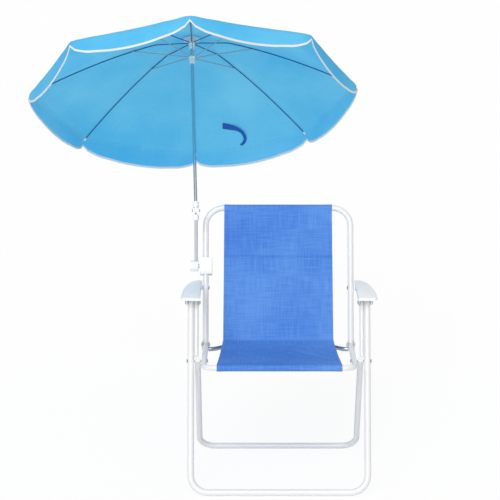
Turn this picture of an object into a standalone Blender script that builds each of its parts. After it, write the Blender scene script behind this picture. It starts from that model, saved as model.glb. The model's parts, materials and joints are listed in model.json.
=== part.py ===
"""A folding sling chair with a sunshade clamped to its back.

Two leg frames, a seat frame and a back frame are bent tubes. They turn on four lines of bolts, and the two
armrests keep the back parallel to the front legs while the chair folds. One fabric sling hangs between the
seat's front bar and the back's top bar. The sunshade has eight ribs, a runner and eight stretchers.
Lengths are in metres and angles in degrees. The origin is under the middle of the front floor bar, with X
to the right, Y to the rear and Z up.
"""

import math

import bmesh
import bpy
from mathutils import Matrix, Vector

# Overall fits
GAP = 0.0003
CUT_OVERRUN = 0.002
PIVOT_GAP = 0.002
TUBE_SIDES = 16
BEND_STEPS = 5
TURNED_SIDES = 20
SMALL_SIDES = 8

# Bent tubes
FRONT_WIDTH = 0.579
FRONT_TUBE = 0.021
REAR_TUBE = 0.019
SEAT_TUBE = 0.018
BACK_TUBE = 0.0195
POST_TUBE = 0.0135
CROSSBAR_TUBE = 0.014
TUBE_WALL = 0.0012
FRONT_BEND = 0.055
REAR_BEND = 0.050
SEAT_BEND = 0.035
BACK_BEND = 0.060
TUBE_END = 0.008

# Side view
LEG_LEAN = 22.7
FRONT_LEG = 0.4146
REAR_LEG = 0.478
ARM_RISE = 0.186
SEAT_SLOPE = 6.68
SEAT_LINK = 0.2794
SEAT_NOSE = 0.1155
BACK_LENGTH = 0.449
POST_START = 0.014

# Bolts
BOLT_RADIUS = 0.003
BOLT_HEAD_RADIUS = 0.0062
BOLT_HEAD = 0.0026
PIN_HEAD = 0.0022

# Hinge brackets and rear crossbar
CHEEK = 0.0018
CHEEK_HALF_HEIGHT = 0.0115
BRACKET_REACH = 0.034
RAIL_SETBACK = 0.0158
CROSSBAR_JOIN = 0.048
CROSSBAR_DROP = 0.006
CROSSBAR_BOW = 0.060
CROSSBAR_STEPS = 6

# Armrests
ARM_FRONT = 0.050
ARM_REAR = 0.018
ARM_FRONT_WIDTH = 0.062
ARM_UNDERSIDE = 0.0137
ARM_THICK = 0.0085
ARM_WALL = 0.0028
ARM_OUTER_WALL = 0.005
ARM_LOBE = 0.009
ARM_LOBE_LENGTH = 0.030
ARM_SHOULDER = 0.004
ARM_OUTLINE_SHARES = ((0.0, 0.86), (0.03, 0.97), (0.10, 1.0), (0.30, 0.97), (0.50, 0.91), (0.68, 0.83),
                      (0.82, 0.70), (0.92, 0.56), (0.98, 0.42), (1.0, 0.30))

# Sling
SLING_THICK = 0.0016
SLING_FRONT_WIDTH = 0.394
SLING_CREASE_WIDTH = 0.349
SLING_TOP_WIDTH = 0.340
CREASE_RISE = 0.0145
CREASE_GAP = 0.0009
SLING_SAG = 0.006
SLING_STEPS = 8
HEM_STEPS = 8
HEM_WRAP = 210.0

# Clamp on the left back tube
CLAMP_UP = 0.2575
CLAMP_HEIGHT = 0.055
CLAMP_WIDTH = 0.041
CLAMP_FRONT = 0.0062
CLAMP_SIDE = 0.0100
CLAMP_REAR = 0.009
CLAMP_ROUND = 0.002
CLAMP_NOTCH = 0.007
JAW_THICK = 0.012
JAW_HEIGHT = 0.036
JAW_TRAVEL = 0.004
SCREW_RADIUS = 0.0035
KNOB_RADIUS = 0.015
KNOB_THICK = 0.014
KNOB_LOBES = 5
KNOB_LOBE_DEPTH = 0.002
AXLE_RADIUS = 0.007
AXLE_LENGTH = 0.0028

# Pole
DRUM_RADIUS = 0.018
DRUM_WIDTH = 0.028
DRUM_ROUND = 0.003
POLE_FROM_CLAMP = 0.0114
LOWER_POLE = 0.0120
UPPER_POLE = 0.0110
POLE_WALL = 0.0007
POLE_SEAT = 0.006
LOWER_POLE_SHOWN = 0.138
KNUCKLE_RADIUS = 0.010
KNUCKLE_HALF = 0.031
KNUCKLE_BODY = 0.019
KNUCKLE_EAR = 0.009
TONGUE = 0.0074
KNUCKLE_PIN = 0.0025
KNUCKLE_PIN_HEAD = 0.0045
KNUCKLE_PIN_HEAD_THICK = 0.003
POLE_IN_KNUCKLE = 0.010
UMBRELLA_TILT = 37.6
UMBRELLA_LEAN = 1.77

# Canopy, measured along the pole from the knuckle's pin
RIBS = 8
APEX = 0.625
DOME_DROP = 0.190
DOME_POWER_SHARE = 1.5
RIM_RADIUS = 0.540
CANOPY_THICK = 0.0009
CANOPY_NECK = 0.0105
GORE_STEPS = 8
GORE_COLUMN_SHARES = (-1.0, -0.6, 0.0, 0.6, 1.0)
GORE_GAP = 0.00025
SKIRT_FLARE = 0.004
SKIRT_AT_RIB = 0.020
SKIRT_DIP = 0.040
RIB_RADIUS = 0.0015
RIB_START = 0.012
RIB_LEVEL = 0.606
RIB_STRAIGHT = 0.12
RIB_JOINT = 0.20
RIB_END = 0.535
STRETCHER_RADIUS = 0.0013
CROWN_RADIUS = 0.0102
CROWN_NECK = 0.0085
CROWN_SOCKET = 0.016
CROWN_DISC = 0.012
RUNNER_NECK = 0.0085
RUNNER_LENGTH = 0.024
RUNNER_DISC = 0.006
PATCH_RADIUS = 0.028
PATCH_THICK = 0.001
FINIAL_RADIUS = 0.014
FINIAL_HEIGHT = 0.012
STRAP_WIDTH = 0.018
STRAP_THICK = 0.0012
STRAP_LENGTH = 0.070
STRAP_DROP = 0.014
STRAP_CURL = 0.016
STRAP_FROM_CENTRE = 0.42
STRAP_STEPS = 10
STRAP_SIDE_SHARE = 0.70

# Places worked out from the sizes above
ACROSS = Vector((1, 0, 0))
LEAN = math.radians(LEG_LEAN)
SLOPE = math.radians(SEAT_SLOPE)
FRONT_X = (FRONT_WIDTH - FRONT_TUBE) / 2
REAR_X = FRONT_X - FRONT_TUBE / 2 - PIVOT_GAP - REAR_TUBE / 2
SEAT_X = REAR_X - REAR_TUBE / 2 - PIVOT_GAP - SEAT_TUBE / 2
BACK_X = SEAT_X
POST_X = FRONT_X - FRONT_TUBE / 2 - GAP - POST_TUBE / 2
ARM_X = POST_X - POST_TUBE / 2 - GAP - ARM_WALL
FLAT = math.cos(math.pi / TUBE_SIDES)
FOOT = Vector((0, 0, FRONT_TUBE / 2 * FLAT))
UP_LEG = Vector((0, math.sin(LEAN), math.cos(LEAN)))
ALONG_SEAT = Vector((0, math.cos(SLOPE), -math.sin(SLOPE)))
OVER_SEAT = Vector((0, math.sin(SLOPE), math.cos(SLOPE)))
BEHIND_BACK = Vector((0, math.cos(LEAN), -math.sin(LEAN)))
SEAT_PIVOT = FOOT + UP_LEG * FRONT_LEG
ARM_PIVOT = SEAT_PIVOT + UP_LEG * ARM_RISE
BACK_PIVOT = SEAT_PIVOT + ALONG_SEAT * SEAT_LINK
REAR_LEAN = math.acos((SEAT_PIVOT.z - REAR_TUBE / 2 * FLAT) / REAR_LEG)
CLAMP_X = -BACK_X
CLAMP_OUTER = CLAMP_SIDE + BACK_TUBE / 2 + GAP
CLAMP_POINT = BACK_PIVOT + UP_LEG * CLAMP_UP + ACROSS * CLAMP_X
POLE_X = CLAMP_X - CLAMP_OUTER - POLE_FROM_CLAMP + GAP
DRUM_POINT = Vector((POLE_X, CLAMP_POINT.y, CLAMP_POINT.z))
KNUCKLE_POINT = DRUM_POINT + Vector((0, 0, DRUM_RADIUS + LOWER_POLE_SHOWN + KNUCKLE_HALF))
RIB_TURN = 2 * math.pi / RIBS


def fabric_level(radius):
    """Height of the canopy over the knuckle's pin, at this distance from the pole."""
    return APEX - DOME_DROP * (radius / RIM_RADIUS) ** DOME_POWER_SHARE


def cloth_level(x, y):
    """Height of the canopy at a place beside a rib, where the cloth runs straight to the next rib."""
    return fabric_level(x + abs(y) * math.tan(RIB_TURN / 2))


def fabric_slope(radius):
    return DOME_DROP * DOME_POWER_SHARE / RIM_RADIUS * (radius / RIM_RADIUS) ** (DOME_POWER_SHARE - 1)


def station(step):
    """Distance from the pole of one of the canopy's rings."""
    return CANOPY_NECK + (RIM_RADIUS - CANOPY_NECK) * step / GORE_STEPS


def rib_level(radius):
    """Height of a rib's middle line, which follows the flat facets of the canopy above it."""
    steps = (radius - CANOPY_NECK) / (RIM_RADIUS - CANOPY_NECK) * GORE_STEPS
    low = min(int(steps), GORE_STEPS - 1)
    share = steps - low
    cloth = fabric_level(station(low)) * (1 - share) + fabric_level(station(low + 1)) * share
    return cloth - RIB_BELOW * math.hypot(1, fabric_slope(radius))


RIB_BELOW = CANOPY_THICK / 2 + GAP + RIB_RADIUS
JOINT_LEVEL = rib_level(RIB_JOINT)
RUNNER_LEVEL = 2 * JOINT_LEVEL - RIB_LEVEL


def clear_scene():
    for obj in list(bpy.data.objects):
        bpy.data.objects.remove(obj, do_unlink=True)


def linear(channel):
    return channel / 12.92 if channel <= 0.04045 else ((channel + 0.055) / 1.055) ** 2.4


def make_material(name, hexcode, roughness, metallic=0.0):
    material = bpy.data.materials.new(name)
    material.use_nodes = True
    shader = material.node_tree.nodes["Principled BSDF"]
    channels = [int(hexcode[i:i + 2], 16) / 255 for i in (1, 3, 5)]
    colour = [linear(channel) for channel in channels] + [1.0]
    shader.inputs["Base Color"].default_value = colour
    shader.inputs["Roughness"].default_value = roughness
    shader.inputs["Metallic"].default_value = metallic
    material.diffuse_color = colour
    return material


def white_paint(name):
    return make_material(name, "#E9EAEE", 0.32)


def white_plastic(name):
    return make_material(name, "#F1F1F2", 0.45)


def steel(name):
    return make_material(name, "#C9CCD0", 0.22, 1.0)


def blue_fabric(name):
    return make_material(name, "#3F78D6", 0.85)


def canopy_fabric(name):
    return make_material(name, "#2F9FE0", 0.7)


def pivot(name, location, turn=0.0, parent=None):
    """An empty on a joint's axis, turned about X by the angle in radians."""
    empty = bpy.data.objects.new(name, None)
    bpy.context.scene.collection.objects.link(empty)
    empty.matrix_local = Matrix.Translation(location) @ Matrix.Rotation(turn, 4, "X")
    empty.parent = parent
    return empty


def local_place(parent_point, parent_turn, point):
    """A world point seen from an empty that stands at parent_point, turned about X."""
    return Matrix.Rotation(-parent_turn, 3, "X") @ (point - parent_point)


def solid(name, points, faces, material, parent=None, smooth=35.0):
    mesh = bpy.data.meshes.new(name)
    mesh.from_pydata([tuple(point) for point in points], [], faces)
    work = bmesh.new()
    work.from_mesh(mesh)
    bmesh.ops.recalc_face_normals(work, faces=work.faces)
    work.to_mesh(mesh)
    work.free()
    if material:
        mesh.materials.append(material)
    mesh.shade_smooth()
    mesh.set_sharp_from_angle(angle=math.radians(smooth))
    obj = bpy.data.objects.new(name, mesh)
    bpy.context.scene.collection.objects.link(obj)
    obj.parent = parent
    return obj


def hide_tool(obj):
    obj.hide_render = True
    obj.display_type = "WIRE"


def combine(target, tool, operation):
    hide_tool(tool)
    step = target.modifiers.new(operation.lower(), "BOOLEAN")
    step.operation = operation
    step.solver = "EXACT"
    step.object = tool


def round_edges(obj, width, segments=2):
    step = obj.modifiers.new("round", "BEVEL")
    step.width = width
    step.segments = segments
    step.limit_method = "ANGLE"


def rings_solid(name, rings, material, parent, closed_ends=True, smooth=35.0):
    """Joins rings of equal count, one after another, with flat ends."""
    count = len(rings[0])
    points = [point for ring in rings for point in ring]
    faces = []
    for i in range(len(rings) - 1):
        for k in range(count):
            after = (k + 1) % count
            faces.append((i * count + k, i * count + after, (i + 1) * count + after, (i + 1) * count + k))
    if closed_ends:
        faces.append(tuple(range(count)))
        faces.append(tuple((len(rings) - 1) * count + k for k in range(count)))
    return solid(name, points, faces, material, parent, smooth)


def path_frames(path, normal):
    """Centre, side vector and mitre stretch at each point of a flat path."""
    frames = []
    for i, point in enumerate(path):
        before = (point - path[i - 1]).normalized() if i else (path[1] - point).normalized()
        after = (path[i + 1] - point).normalized() if i < len(path) - 1 else before
        along = (before + after).normalized()
        frames.append((point, along.cross(normal).normalized(), 1 / max(along.dot(before), 0.5)))
    return frames


def bar_turn(normal, toward):
    """Turns a tube's ring so that one of its facets looks this way where the tube runs along X."""
    side = ACROSS.cross(normal)
    return math.atan2(toward.dot(normal), toward.dot(side)) + math.pi / TUBE_SIDES


def tube(name, path, radii, normal, material, parent, sides=TUBE_SIDES, turn=0.0, wall=None):
    """A round tube along a flat path, solid or with a bore open at both ends."""
    if not isinstance(radii, list):
        radii = [radii] * len(path)
    outer = []
    inner = []
    for (point, side, stretch), radius in zip(path_frames(path, normal), radii):
        angles = [turn + 2 * math.pi * k / sides for k in range(sides)]
        unit = [side * (math.cos(a) * stretch) + normal * math.sin(a) for a in angles]
        outer.append([point + u * radius for u in unit])
        if wall:
            inner.append([point + u * (radius - wall) for u in unit])
    if not wall:
        return rings_solid(name, outer, material, parent)
    rings = outer + inner[::-1] + outer[:1]
    return closed_rings(name, rings[:-1], material, parent)


def closed_rings(name, rings, material, parent):
    """Joins rings of equal count into a closed loop of rings."""
    count = len(rings[0])
    points = [point for ring in rings for point in ring]
    faces = []
    for i in range(len(rings)):
        following = (i + 1) % len(rings)
        for k in range(count):
            after = (k + 1) % count
            faces.append((i * count + k, i * count + after, following * count + after, following * count + k))
    return solid(name, points, faces, material, parent)


def turned(name, profile, material, parent, sides=TURNED_SIDES, placed=None):
    """A turned piece. The profile is (radius, height); one that starts off the axis is a closed loop."""
    points = []
    rows = []
    for radius, height in profile:
        if radius == 0:
            rows.append([len(points)] * sides)
            points.append(Vector((0, 0, height)))
            continue
        rows.append(list(range(len(points), len(points) + sides)))
        for k in range(sides):
            angle = 2 * math.pi * k / sides
            points.append(Vector((radius * math.cos(angle), radius * math.sin(angle), height)))
    pairs = list(zip(rows, rows[1:]))
    if profile[0][0] > 0:
        pairs.append((rows[-1], rows[0]))
    faces = []
    for low, high in pairs:
        for k in range(sides):
            after = (k + 1) % sides
            corners = []
            for corner in (low[k], low[after], high[after], high[k]):
                if corner not in corners:
                    corners.append(corner)
            if len(corners) > 2:
                faces.append(tuple(corners))
    if placed:
        points = [placed @ point for point in points]
    return solid(name, points, faces, material, parent)


def block(name, low, high, material, parent):
    corners = [Vector((x, y, z)) for z in (low[2], high[2]) for y in (low[1], high[1]) for x in (low[0], high[0])]
    faces = [(0, 2, 3, 1), (4, 5, 7, 6), (0, 1, 5, 4), (2, 6, 7, 3), (0, 4, 6, 2), (1, 3, 7, 5)]
    return solid(name, corners, faces, material, parent)


def prism(name, outline, start, end, material, parent):
    """A flat outline of (y, z) points carried along X."""
    rings = [[Vector((x, y, z)) for y, z in outline] for x in (start, end)]
    return rings_solid(name, rings, material, parent)


def across_matrix(x, y, z):
    """Lays a turned piece's axis along X, with its base at this place."""
    return Matrix.Translation((x, y, z)) @ Matrix.Rotation(math.pi / 2, 4, "Y")


def drill_across(target, name, radius, y, z, start, end):
    """Drills a hole along X, from start to end, in the frame of the target's parent."""
    length = end - start
    rod = ((0, -CUT_OVERRUN), (radius, -CUT_OVERRUN), (radius, length + CUT_OVERRUN), (0, length + CUT_OVERRUN))
    tool = turned(name, rod, None, target.parent, SMALL_SIDES * 2, across_matrix(start, y, z))
    combine(target, tool, "DIFFERENCE")


def u_path(half_width, open_end, bar, bend):
    """A U in the plane of X and Z: up or down one side, round two bends and back along the other."""
    way = 1 if bar > open_end else -1
    path = [Vector((-half_width, 0, open_end))]
    for step in range(BEND_STEPS + 1):
        angle = math.pi / 2 * step / BEND_STEPS
        across = -half_width + bend * (1 - math.cos(angle))
        path.append(Vector((across, 0, bar - way * bend * (1 - math.sin(angle)))))
    return path + [Vector((-point.x, 0, point.z)) for point in path[::-1]]


def bent_frame(name, half_width, open_end, bar, bend, diameter, material, parent, flat_toward=None):
    normal = Vector((0, 1, 0))
    turn = bar_turn(normal, flat_toward) if flat_toward else 0.0
    path = u_path(half_width, open_end, bar, bend)
    return tube(name, path, diameter / 2, normal, material, parent, turn=turn, wall=TUBE_WALL)


def bolt(name, inner, outer, side, y, z, parent, head=BOLT_HEAD, head_radius=BOLT_HEAD_RADIUS):
    """A shank along X with a low round head against each outer face."""
    rim = head * 0.4
    crown = head_radius * 0.6
    length = outer - inner
    start = -GAP
    stop = length + GAP
    profile = ((0, start - head), (crown, start - head), (head_radius, start - rim), (head_radius, start),
               (BOLT_RADIUS, start), (BOLT_RADIUS, stop), (head_radius, stop), (head_radius, stop + rim),
               (crown, stop + head), (0, stop + head))
    place = across_matrix(inner, y, z)
    if side < 0:
        place = Matrix.Scale(-1, 4, ACROSS) @ place
    return turned(name, profile, steel(name), parent, SMALL_SIDES * 2, place)


def make_front_legs(body):
    """The front leg frame, from its floor bar up to the armrests, with a short post beside each leg."""
    down = Matrix.Rotation(LEAN, 3, "X") @ Vector((0, 0, -1))
    top = FRONT_LEG + ARM_RISE + TUBE_END
    frame = bent_frame("front_leg_frame", FRONT_X, top, 0, FRONT_BEND, FRONT_TUBE, white_paint("front_paint"),
                       body, down)
    bore = BOLT_RADIUS + GAP
    for place, height in (("seat", FRONT_LEG), ("arm", FRONT_LEG + ARM_RISE)):
        drill_across(frame, "cut_front_" + place, bore, 0, height, -FRONT_WIDTH / 2, FRONT_WIDTH / 2)
    for name, side in (("left", -1), ("right", 1)):
        start = FRONT_LEG + POST_START
        path = [Vector((side * POST_X, 0, start)), Vector((side * POST_X, 0, top))]
        post = tube("arm_post_" + name, path, POST_TUBE / 2, Vector((0, 1, 0)), white_paint("post_paint_" + name),
                    body, wall=TUBE_WALL)
        middle = side * POST_X
        reach = POST_TUBE
        drill_across(post, "cut_post_arm_" + name, bore, 0, FRONT_LEG + ARM_RISE, middle - reach, middle + reach)
        bolt("seat_bolt_" + name, SEAT_X - SEAT_TUBE / 2, FRONT_X + FRONT_TUBE / 2, side, 0, FRONT_LEG, body)
        bolt("arm_bolt_" + name, ARM_X, FRONT_X + FRONT_TUBE / 2 + GAP + ARM_OUTER_WALL, side, 0,
             FRONT_LEG + ARM_RISE, body)


def make_rear_legs(body):
    down = Matrix.Rotation(-REAR_LEAN, 3, "X") @ Vector((0, 0, -1))
    frame = bent_frame("rear_leg_frame", REAR_X, TUBE_END, -REAR_LEG, REAR_BEND, REAR_TUBE,
                       white_paint("rear_paint"), body, down)
    drill_across(frame, "cut_rear", BOLT_RADIUS + GAP, 0, 0, -REAR_X - REAR_TUBE, REAR_X + REAR_TUBE)


def make_seat(body):
    """The seat frame lies along Y here: its nose is ahead of the bolts and its rails end behind."""
    flat = Matrix.Rotation(math.pi / 2, 4, "X")
    rail_end = SEAT_LINK - RAIL_SETBACK
    path = [flat @ Vector((p.x, 0, -p.z)) for p in u_path(SEAT_X, rail_end, -SEAT_NOSE, SEAT_BEND)]
    normal = Vector((0, 0, 1))
    frame = tube("seat_frame", path, SEAT_TUBE / 2, normal, white_paint("seat_paint"), body, wall=TUBE_WALL)
    bore = BOLT_RADIUS + GAP
    drill_across(frame, "cut_seat", bore, 0, 0, -SEAT_X - SEAT_TUBE, SEAT_X + SEAT_TUBE)
    join = SEAT_LINK - CROSSBAR_JOIN
    end = SEAT_X - SEAT_TUBE / 2 - GAP
    half = [Vector((-end, join, -CROSSBAR_DROP))]
    bow_start = -end + CROSSBAR_TUBE / 2
    for step in range(CROSSBAR_STEPS + 1):
        share = step / CROSSBAR_STEPS
        ease = share * share * (3 - 2 * share)
        half.append(Vector((bow_start + CROSSBAR_BOW * share, join + (SEAT_LINK - join) * ease, -CROSSBAR_DROP)))
    path = half + [Vector((-p.x, p.y, p.z)) for p in half[::-1]]
    tube("rear_crossbar", path, CROSSBAR_TUBE / 2, normal, steel("crossbar_steel"), body, wall=TUBE_WALL)
    for name, side in (("left", -1), ("right", 1)):
        make_bracket(name, side, body)


def rounded_end(y_start, y_pivot, half, steps=6):
    """An outline that starts square and ends in a half round about the pivot."""
    outline = [(y_start, -half)]
    for step in range(steps + 1):
        angle = -math.pi / 2 + math.pi * step / steps
        outline.append((y_pivot + half * math.cos(angle), half * math.sin(angle)))
    return outline + [(y_start, half)]


def make_bracket(name, side, body):
    """Two cheeks and a web under the rail, which hold the back tube's end between them."""
    inner = BACK_X - BACK_TUBE / 2 - GAP
    outer = BACK_X + BACK_TUBE / 2 + GAP
    start = SEAT_LINK - BRACKET_REACH
    outline = rounded_end(start, SEAT_LINK, CHEEK_HALF_HEIGHT)
    paint = white_paint("bracket_paint_" + name)
    cheek = prism("hinge_bracket_" + name, outline, side * (inner - CHEEK), side * inner, paint, body)
    far = prism("cheek_" + name, outline, side * outer, side * (outer + CHEEK), None, body)
    web_low = -CHEEK_HALF_HEIGHT
    web_high = -SEAT_TUBE / 2 - GAP
    ends = sorted((side * (inner - CHEEK / 2), side * (outer + CHEEK / 2)))
    web = block("web_" + name, (ends[0], start + CHEEK / 2, web_low + GAP), (ends[1], SEAT_LINK - RAIL_SETBACK,
                web_high), None, body)
    combine(cheek, web, "UNION")
    combine(cheek, far, "UNION")
    reach = (side * (inner - 2 * CHEEK), side * (outer + 2 * CHEEK))
    drill_across(cheek, "cut_pin_" + name, BOLT_RADIUS + GAP, SEAT_LINK, 0, min(reach), max(reach))
    bolt("hinge_pin_" + name, inner - CHEEK, outer + CHEEK, side, SEAT_LINK, 0, body, PIN_HEAD)


def make_back(body):
    frame = bent_frame("back_frame", BACK_X, -TUBE_END, BACK_LENGTH, BACK_BEND, BACK_TUBE,
                       white_paint("back_paint"), body)
    bore = BOLT_RADIUS + GAP
    for place, height in (("pin", 0), ("arm", ARM_RISE)):
        drill_across(frame, "cut_back_" + place, bore, 0, height, -BACK_X - BACK_TUBE, BACK_X + BACK_TUBE)
    for name, side in (("left", -1), ("right", 1)):
        bolt("arm_rear_bolt_" + name, BACK_X - BACK_TUBE / 2, ARM_X + ARM_WALL, side, 0, ARM_RISE, body)


def sling_strip(name, stations, material, parent):
    """A strip of cloth: each station is a point of its side view, its normal and its half width."""
    rings = []
    for point, normal, half in stations:
        over = point + normal * (SLING_THICK / 2)
        under = point - normal * (SLING_THICK / 2)
        rings.append([over - ACROSS * half, over + ACROSS * half, under + ACROSS * half, under - ACROSS * half])
    return rings_solid(name, rings, material, parent, smooth=60.0)


def hem_arc(centre, first, second, radius, start, stop):
    """Stations round a bar, from one angle to another, measured from the first vector to the second."""
    found = []
    for step in range(HEM_STEPS + 1):
        angle = math.radians(start + (stop - start) * step / HEM_STEPS)
        normal = first * math.cos(angle) + second * math.sin(angle)
        found.append((centre + normal * radius, normal))
    return found


def make_slings(seat_body, back_body):
    crease = BACK_PIVOT + OVER_SEAT * CREASE_RISE
    nose = SEAT_PIVOT - ALONG_SEAT * SEAT_NOSE
    wrap = SEAT_TUBE / 2 + GAP + SLING_THICK / 2
    arc = hem_arc(nose, ALONG_SEAT, OVER_SEAT, wrap, 90.0 + HEM_WRAP, 90.0)
    top = arc[-1][0]
    run = crease - top
    along = run.normalized()
    over = ACROSS.cross(along)
    seat = [(point, normal, SLING_FRONT_WIDTH / 2) for point, normal in arc]
    end_share = 1 - CREASE_GAP / run.length
    for step in range(1, SLING_STEPS + 1):
        share = end_share * step / SLING_STEPS
        sag = over * (SLING_SAG * math.sin(math.pi * share))
        half = (SLING_FRONT_WIDTH + (SLING_CREASE_WIDTH - SLING_FRONT_WIDTH) * share) / 2
        seat.append((top + run * share - sag, over, half))
    cloth = blue_fabric("sling_cloth_seat")
    turn = -SLOPE
    seat = [(local_place(SEAT_PIVOT, turn, p), Matrix.Rotation(-turn, 3, "X") @ n, h) for p, n, h in seat]
    sling_strip("seat_sling", seat, cloth, seat_body)
    bar = BACK_PIVOT + UP_LEG * BACK_LENGTH
    wrap = BACK_TUBE / 2 + GAP + SLING_THICK / 2
    arc = hem_arc(bar, -BEHIND_BACK, UP_LEG, wrap, 0.0, HEM_WRAP)
    low = arc[0][0]
    run = low - crease
    front = ACROSS.cross(run.normalized())
    start_share = CREASE_GAP / run.length
    back = []
    for step in range(SLING_STEPS):
        share = start_share + (1 - start_share) * step / SLING_STEPS
        sag = front * (SLING_SAG * math.sin(math.pi * share))
        half = (SLING_CREASE_WIDTH + (SLING_TOP_WIDTH - SLING_CREASE_WIDTH) * share) / 2
        back.append((crease + run * share - sag, front, half))
    back += [(point, normal, SLING_TOP_WIDTH / 2) for point, normal in arc]
    turn = -LEAN
    back = [(local_place(BACK_PIVOT, turn, p), Matrix.Rotation(-turn, 3, "X") @ n, h) for p, n, h in back]
    sling_strip("back_sling", back, blue_fabric("sling_cloth_back"), back_body)


def make_arm(name, side, body):
    """A moulded armrest: a crowned top, a wall inside the post, a lobe outside the leg and a rear boss."""
    plastic = white_plastic("arm_plastic_" + name)
    length = ARM_FRONT + SEAT_LINK + ARM_REAR
    inner = ARM_X - PIVOT_GAP
    levels = ((0, 0), (ARM_THICK * 0.55, 0), (ARM_THICK * 0.85, ARM_SHOULDER * 0.3), (ARM_THICK, ARM_SHOULDER))
    rings = []
    for rise, inset in levels:
        outer = []
        for along_share, width_share in ARM_OUTLINE_SHARES:
            y = -ARM_FRONT + inset + (length - 2 * inset) * along_share
            outer.append(Vector((inner + ARM_FRONT_WIDTH * width_share - inset, y, ARM_UNDERSIDE + rise)))
        ends = [Vector((inner + inset, outer[-1].y, outer[-1].z)), Vector((inner + inset, outer[0].y, outer[0].z))]
        rings.append([Vector((side * p.x, p.y, p.z)) for p in outer + ends])
    arm = rings_solid("armrest_" + name, rings, plastic, body)
    root = ARM_UNDERSIDE + ARM_THICK * 0.3
    wall_end = SEAT_LINK + ARM_REAR - ARM_SHOULDER
    wall = [(-ARM_LOBE_LENGTH, root), (-ARM_LOBE_LENGTH, ARM_LOBE / 2), (-ARM_LOBE / 2, -ARM_LOBE),
            (ARM_LOBE, -ARM_LOBE), (ARM_LOBE_LENGTH, 0), (SEAT_LINK - ARM_LOBE_LENGTH, 0),
            (SEAT_LINK - ARM_LOBE, -ARM_LOBE), (SEAT_LINK + ARM_LOBE / 2, -ARM_LOBE), (wall_end, 0),
            (wall_end, root)]
    parts = [prism("wall_" + name, wall, side * ARM_X, side * (ARM_X + ARM_WALL), None, body)]
    lobe = [(-ARM_LOBE_LENGTH, root), (-ARM_LOBE_LENGTH, ARM_LOBE), (-ARM_LOBE, -ARM_LOBE / 2),
            (0, -ARM_LOBE), (ARM_LOBE, -ARM_LOBE / 2), (ARM_LOBE_LENGTH, ARM_LOBE), (ARM_LOBE_LENGTH, root)]
    lobe_x = FRONT_X + FRONT_TUBE / 2 + GAP
    parts.append(prism("lobe_" + name, lobe, side * lobe_x, side * (lobe_x + ARM_OUTER_WALL), None, body))
    boss_start = BACK_X + BACK_TUBE / 2 + GAP
    boss = ((0, 0), (ARM_LOBE * 0.8, 0), (ARM_LOBE * 0.8, ARM_X + ARM_WALL / 2 - boss_start),
            (0, ARM_X + ARM_WALL / 2 - boss_start))
    place = across_matrix(boss_start, SEAT_LINK, 0)
    if side < 0:
        place = Matrix.Scale(-1, 4, ACROSS) @ place
    parts.append(turned("boss_" + name, boss, None, body, SMALL_SIDES * 2, place))
    for part in parts:
        combine(arm, part, "UNION")
    reach = sorted((side * (boss_start - PIVOT_GAP), side * (lobe_x + 2 * ARM_OUTER_WALL)))
    for place, y in (("front", 0), ("rear", SEAT_LINK)):
        drill_across(arm, "cut_arm_" + place + "_" + name, BOLT_RADIUS + GAP, y, 0, reach[0], reach[1])


def make_clamp(body):
    """A C-shaped clamp round the left back tube, open toward the sling, with a jaw and a screw behind."""
    radius = BACK_TUBE / 2 + GAP
    half = CLAMP_HEIGHT / 2
    x_out = -CLAMP_OUTER
    x_in = x_out + CLAMP_WIDTH
    front = -radius - CLAMP_FRONT
    slot_end = radius + JAW_THICK + JAW_TRAVEL + GAP
    plastic = white_plastic("clamp_plastic")
    clamp = block("clamp_block", (x_out, front, -half), (x_in, slot_end + CLAMP_REAR, half), plastic, body)
    round_edges(clamp, CLAMP_ROUND)
    slot = block("cut_clamp_slot", (-radius, -radius, -half - CUT_OVERRUN),
                 (x_in + CUT_OVERRUN, slot_end, half + CUT_OVERRUN), None, body)
    combine(clamp, slot, "DIFFERENCE")
    pitch = CLAMP_WIDTH / 3
    for k in range(3):
        middle = x_out + pitch * (k + 0.5)
        notch = block("cut_clamp_notch_%d" % k, (middle - pitch / 4, front - CUT_OVERRUN, -half - CUT_OVERRUN),
                      (middle + pitch / 4, front + CLAMP_FRONT / 2, -half + CLAMP_NOTCH), None, body)
        combine(clamp, notch, "DIFFERENCE")
    lay_back = Matrix.Rotation(-math.pi / 2, 4, "X")
    hole = ((0, slot_end - CUT_OVERRUN), (SCREW_RADIUS + GAP, slot_end - CUT_OVERRUN),
            (SCREW_RADIUS + GAP, slot_end + CLAMP_REAR + CUT_OVERRUN), (0, slot_end + CLAMP_REAR + CUT_OVERRUN))
    combine(clamp, turned("cut_clamp_hole", hole, None, body, SMALL_SIDES * 2, lay_back), "DIFFERENCE")
    boss = ((0, -CLAMP_ROUND), (AXLE_RADIUS, -CLAMP_ROUND), (AXLE_RADIUS, AXLE_LENGTH), (0, AXLE_LENGTH))
    out = Matrix.Translation((x_out, 0, 0)) @ Matrix.Rotation(-math.pi / 2, 4, "Y")
    combine(clamp, turned("clamp_axle", boss, None, body, SMALL_SIDES * 2, out), "UNION")
    return radius, slot_end, lay_back


def make_jaw(radius, lay_back, body):
    half = JAW_HEIGHT / 2
    jaw = block("clamp_jaw", (-radius + GAP, radius, -half), (radius + CLAMP_SIDE / 2, radius + JAW_THICK, half),
                white_plastic("jaw_plastic"), body)
    seat = radius + CLAMP_ROUND
    hole = ((0, seat), (SCREW_RADIUS + GAP, seat), (SCREW_RADIUS + GAP, radius + JAW_THICK + CUT_OVERRUN),
            (0, radius + JAW_THICK + CUT_OVERRUN))
    combine(jaw, turned("cut_jaw_hole", hole, None, body, SMALL_SIDES * 2, lay_back), "DIFFERENCE")


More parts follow.
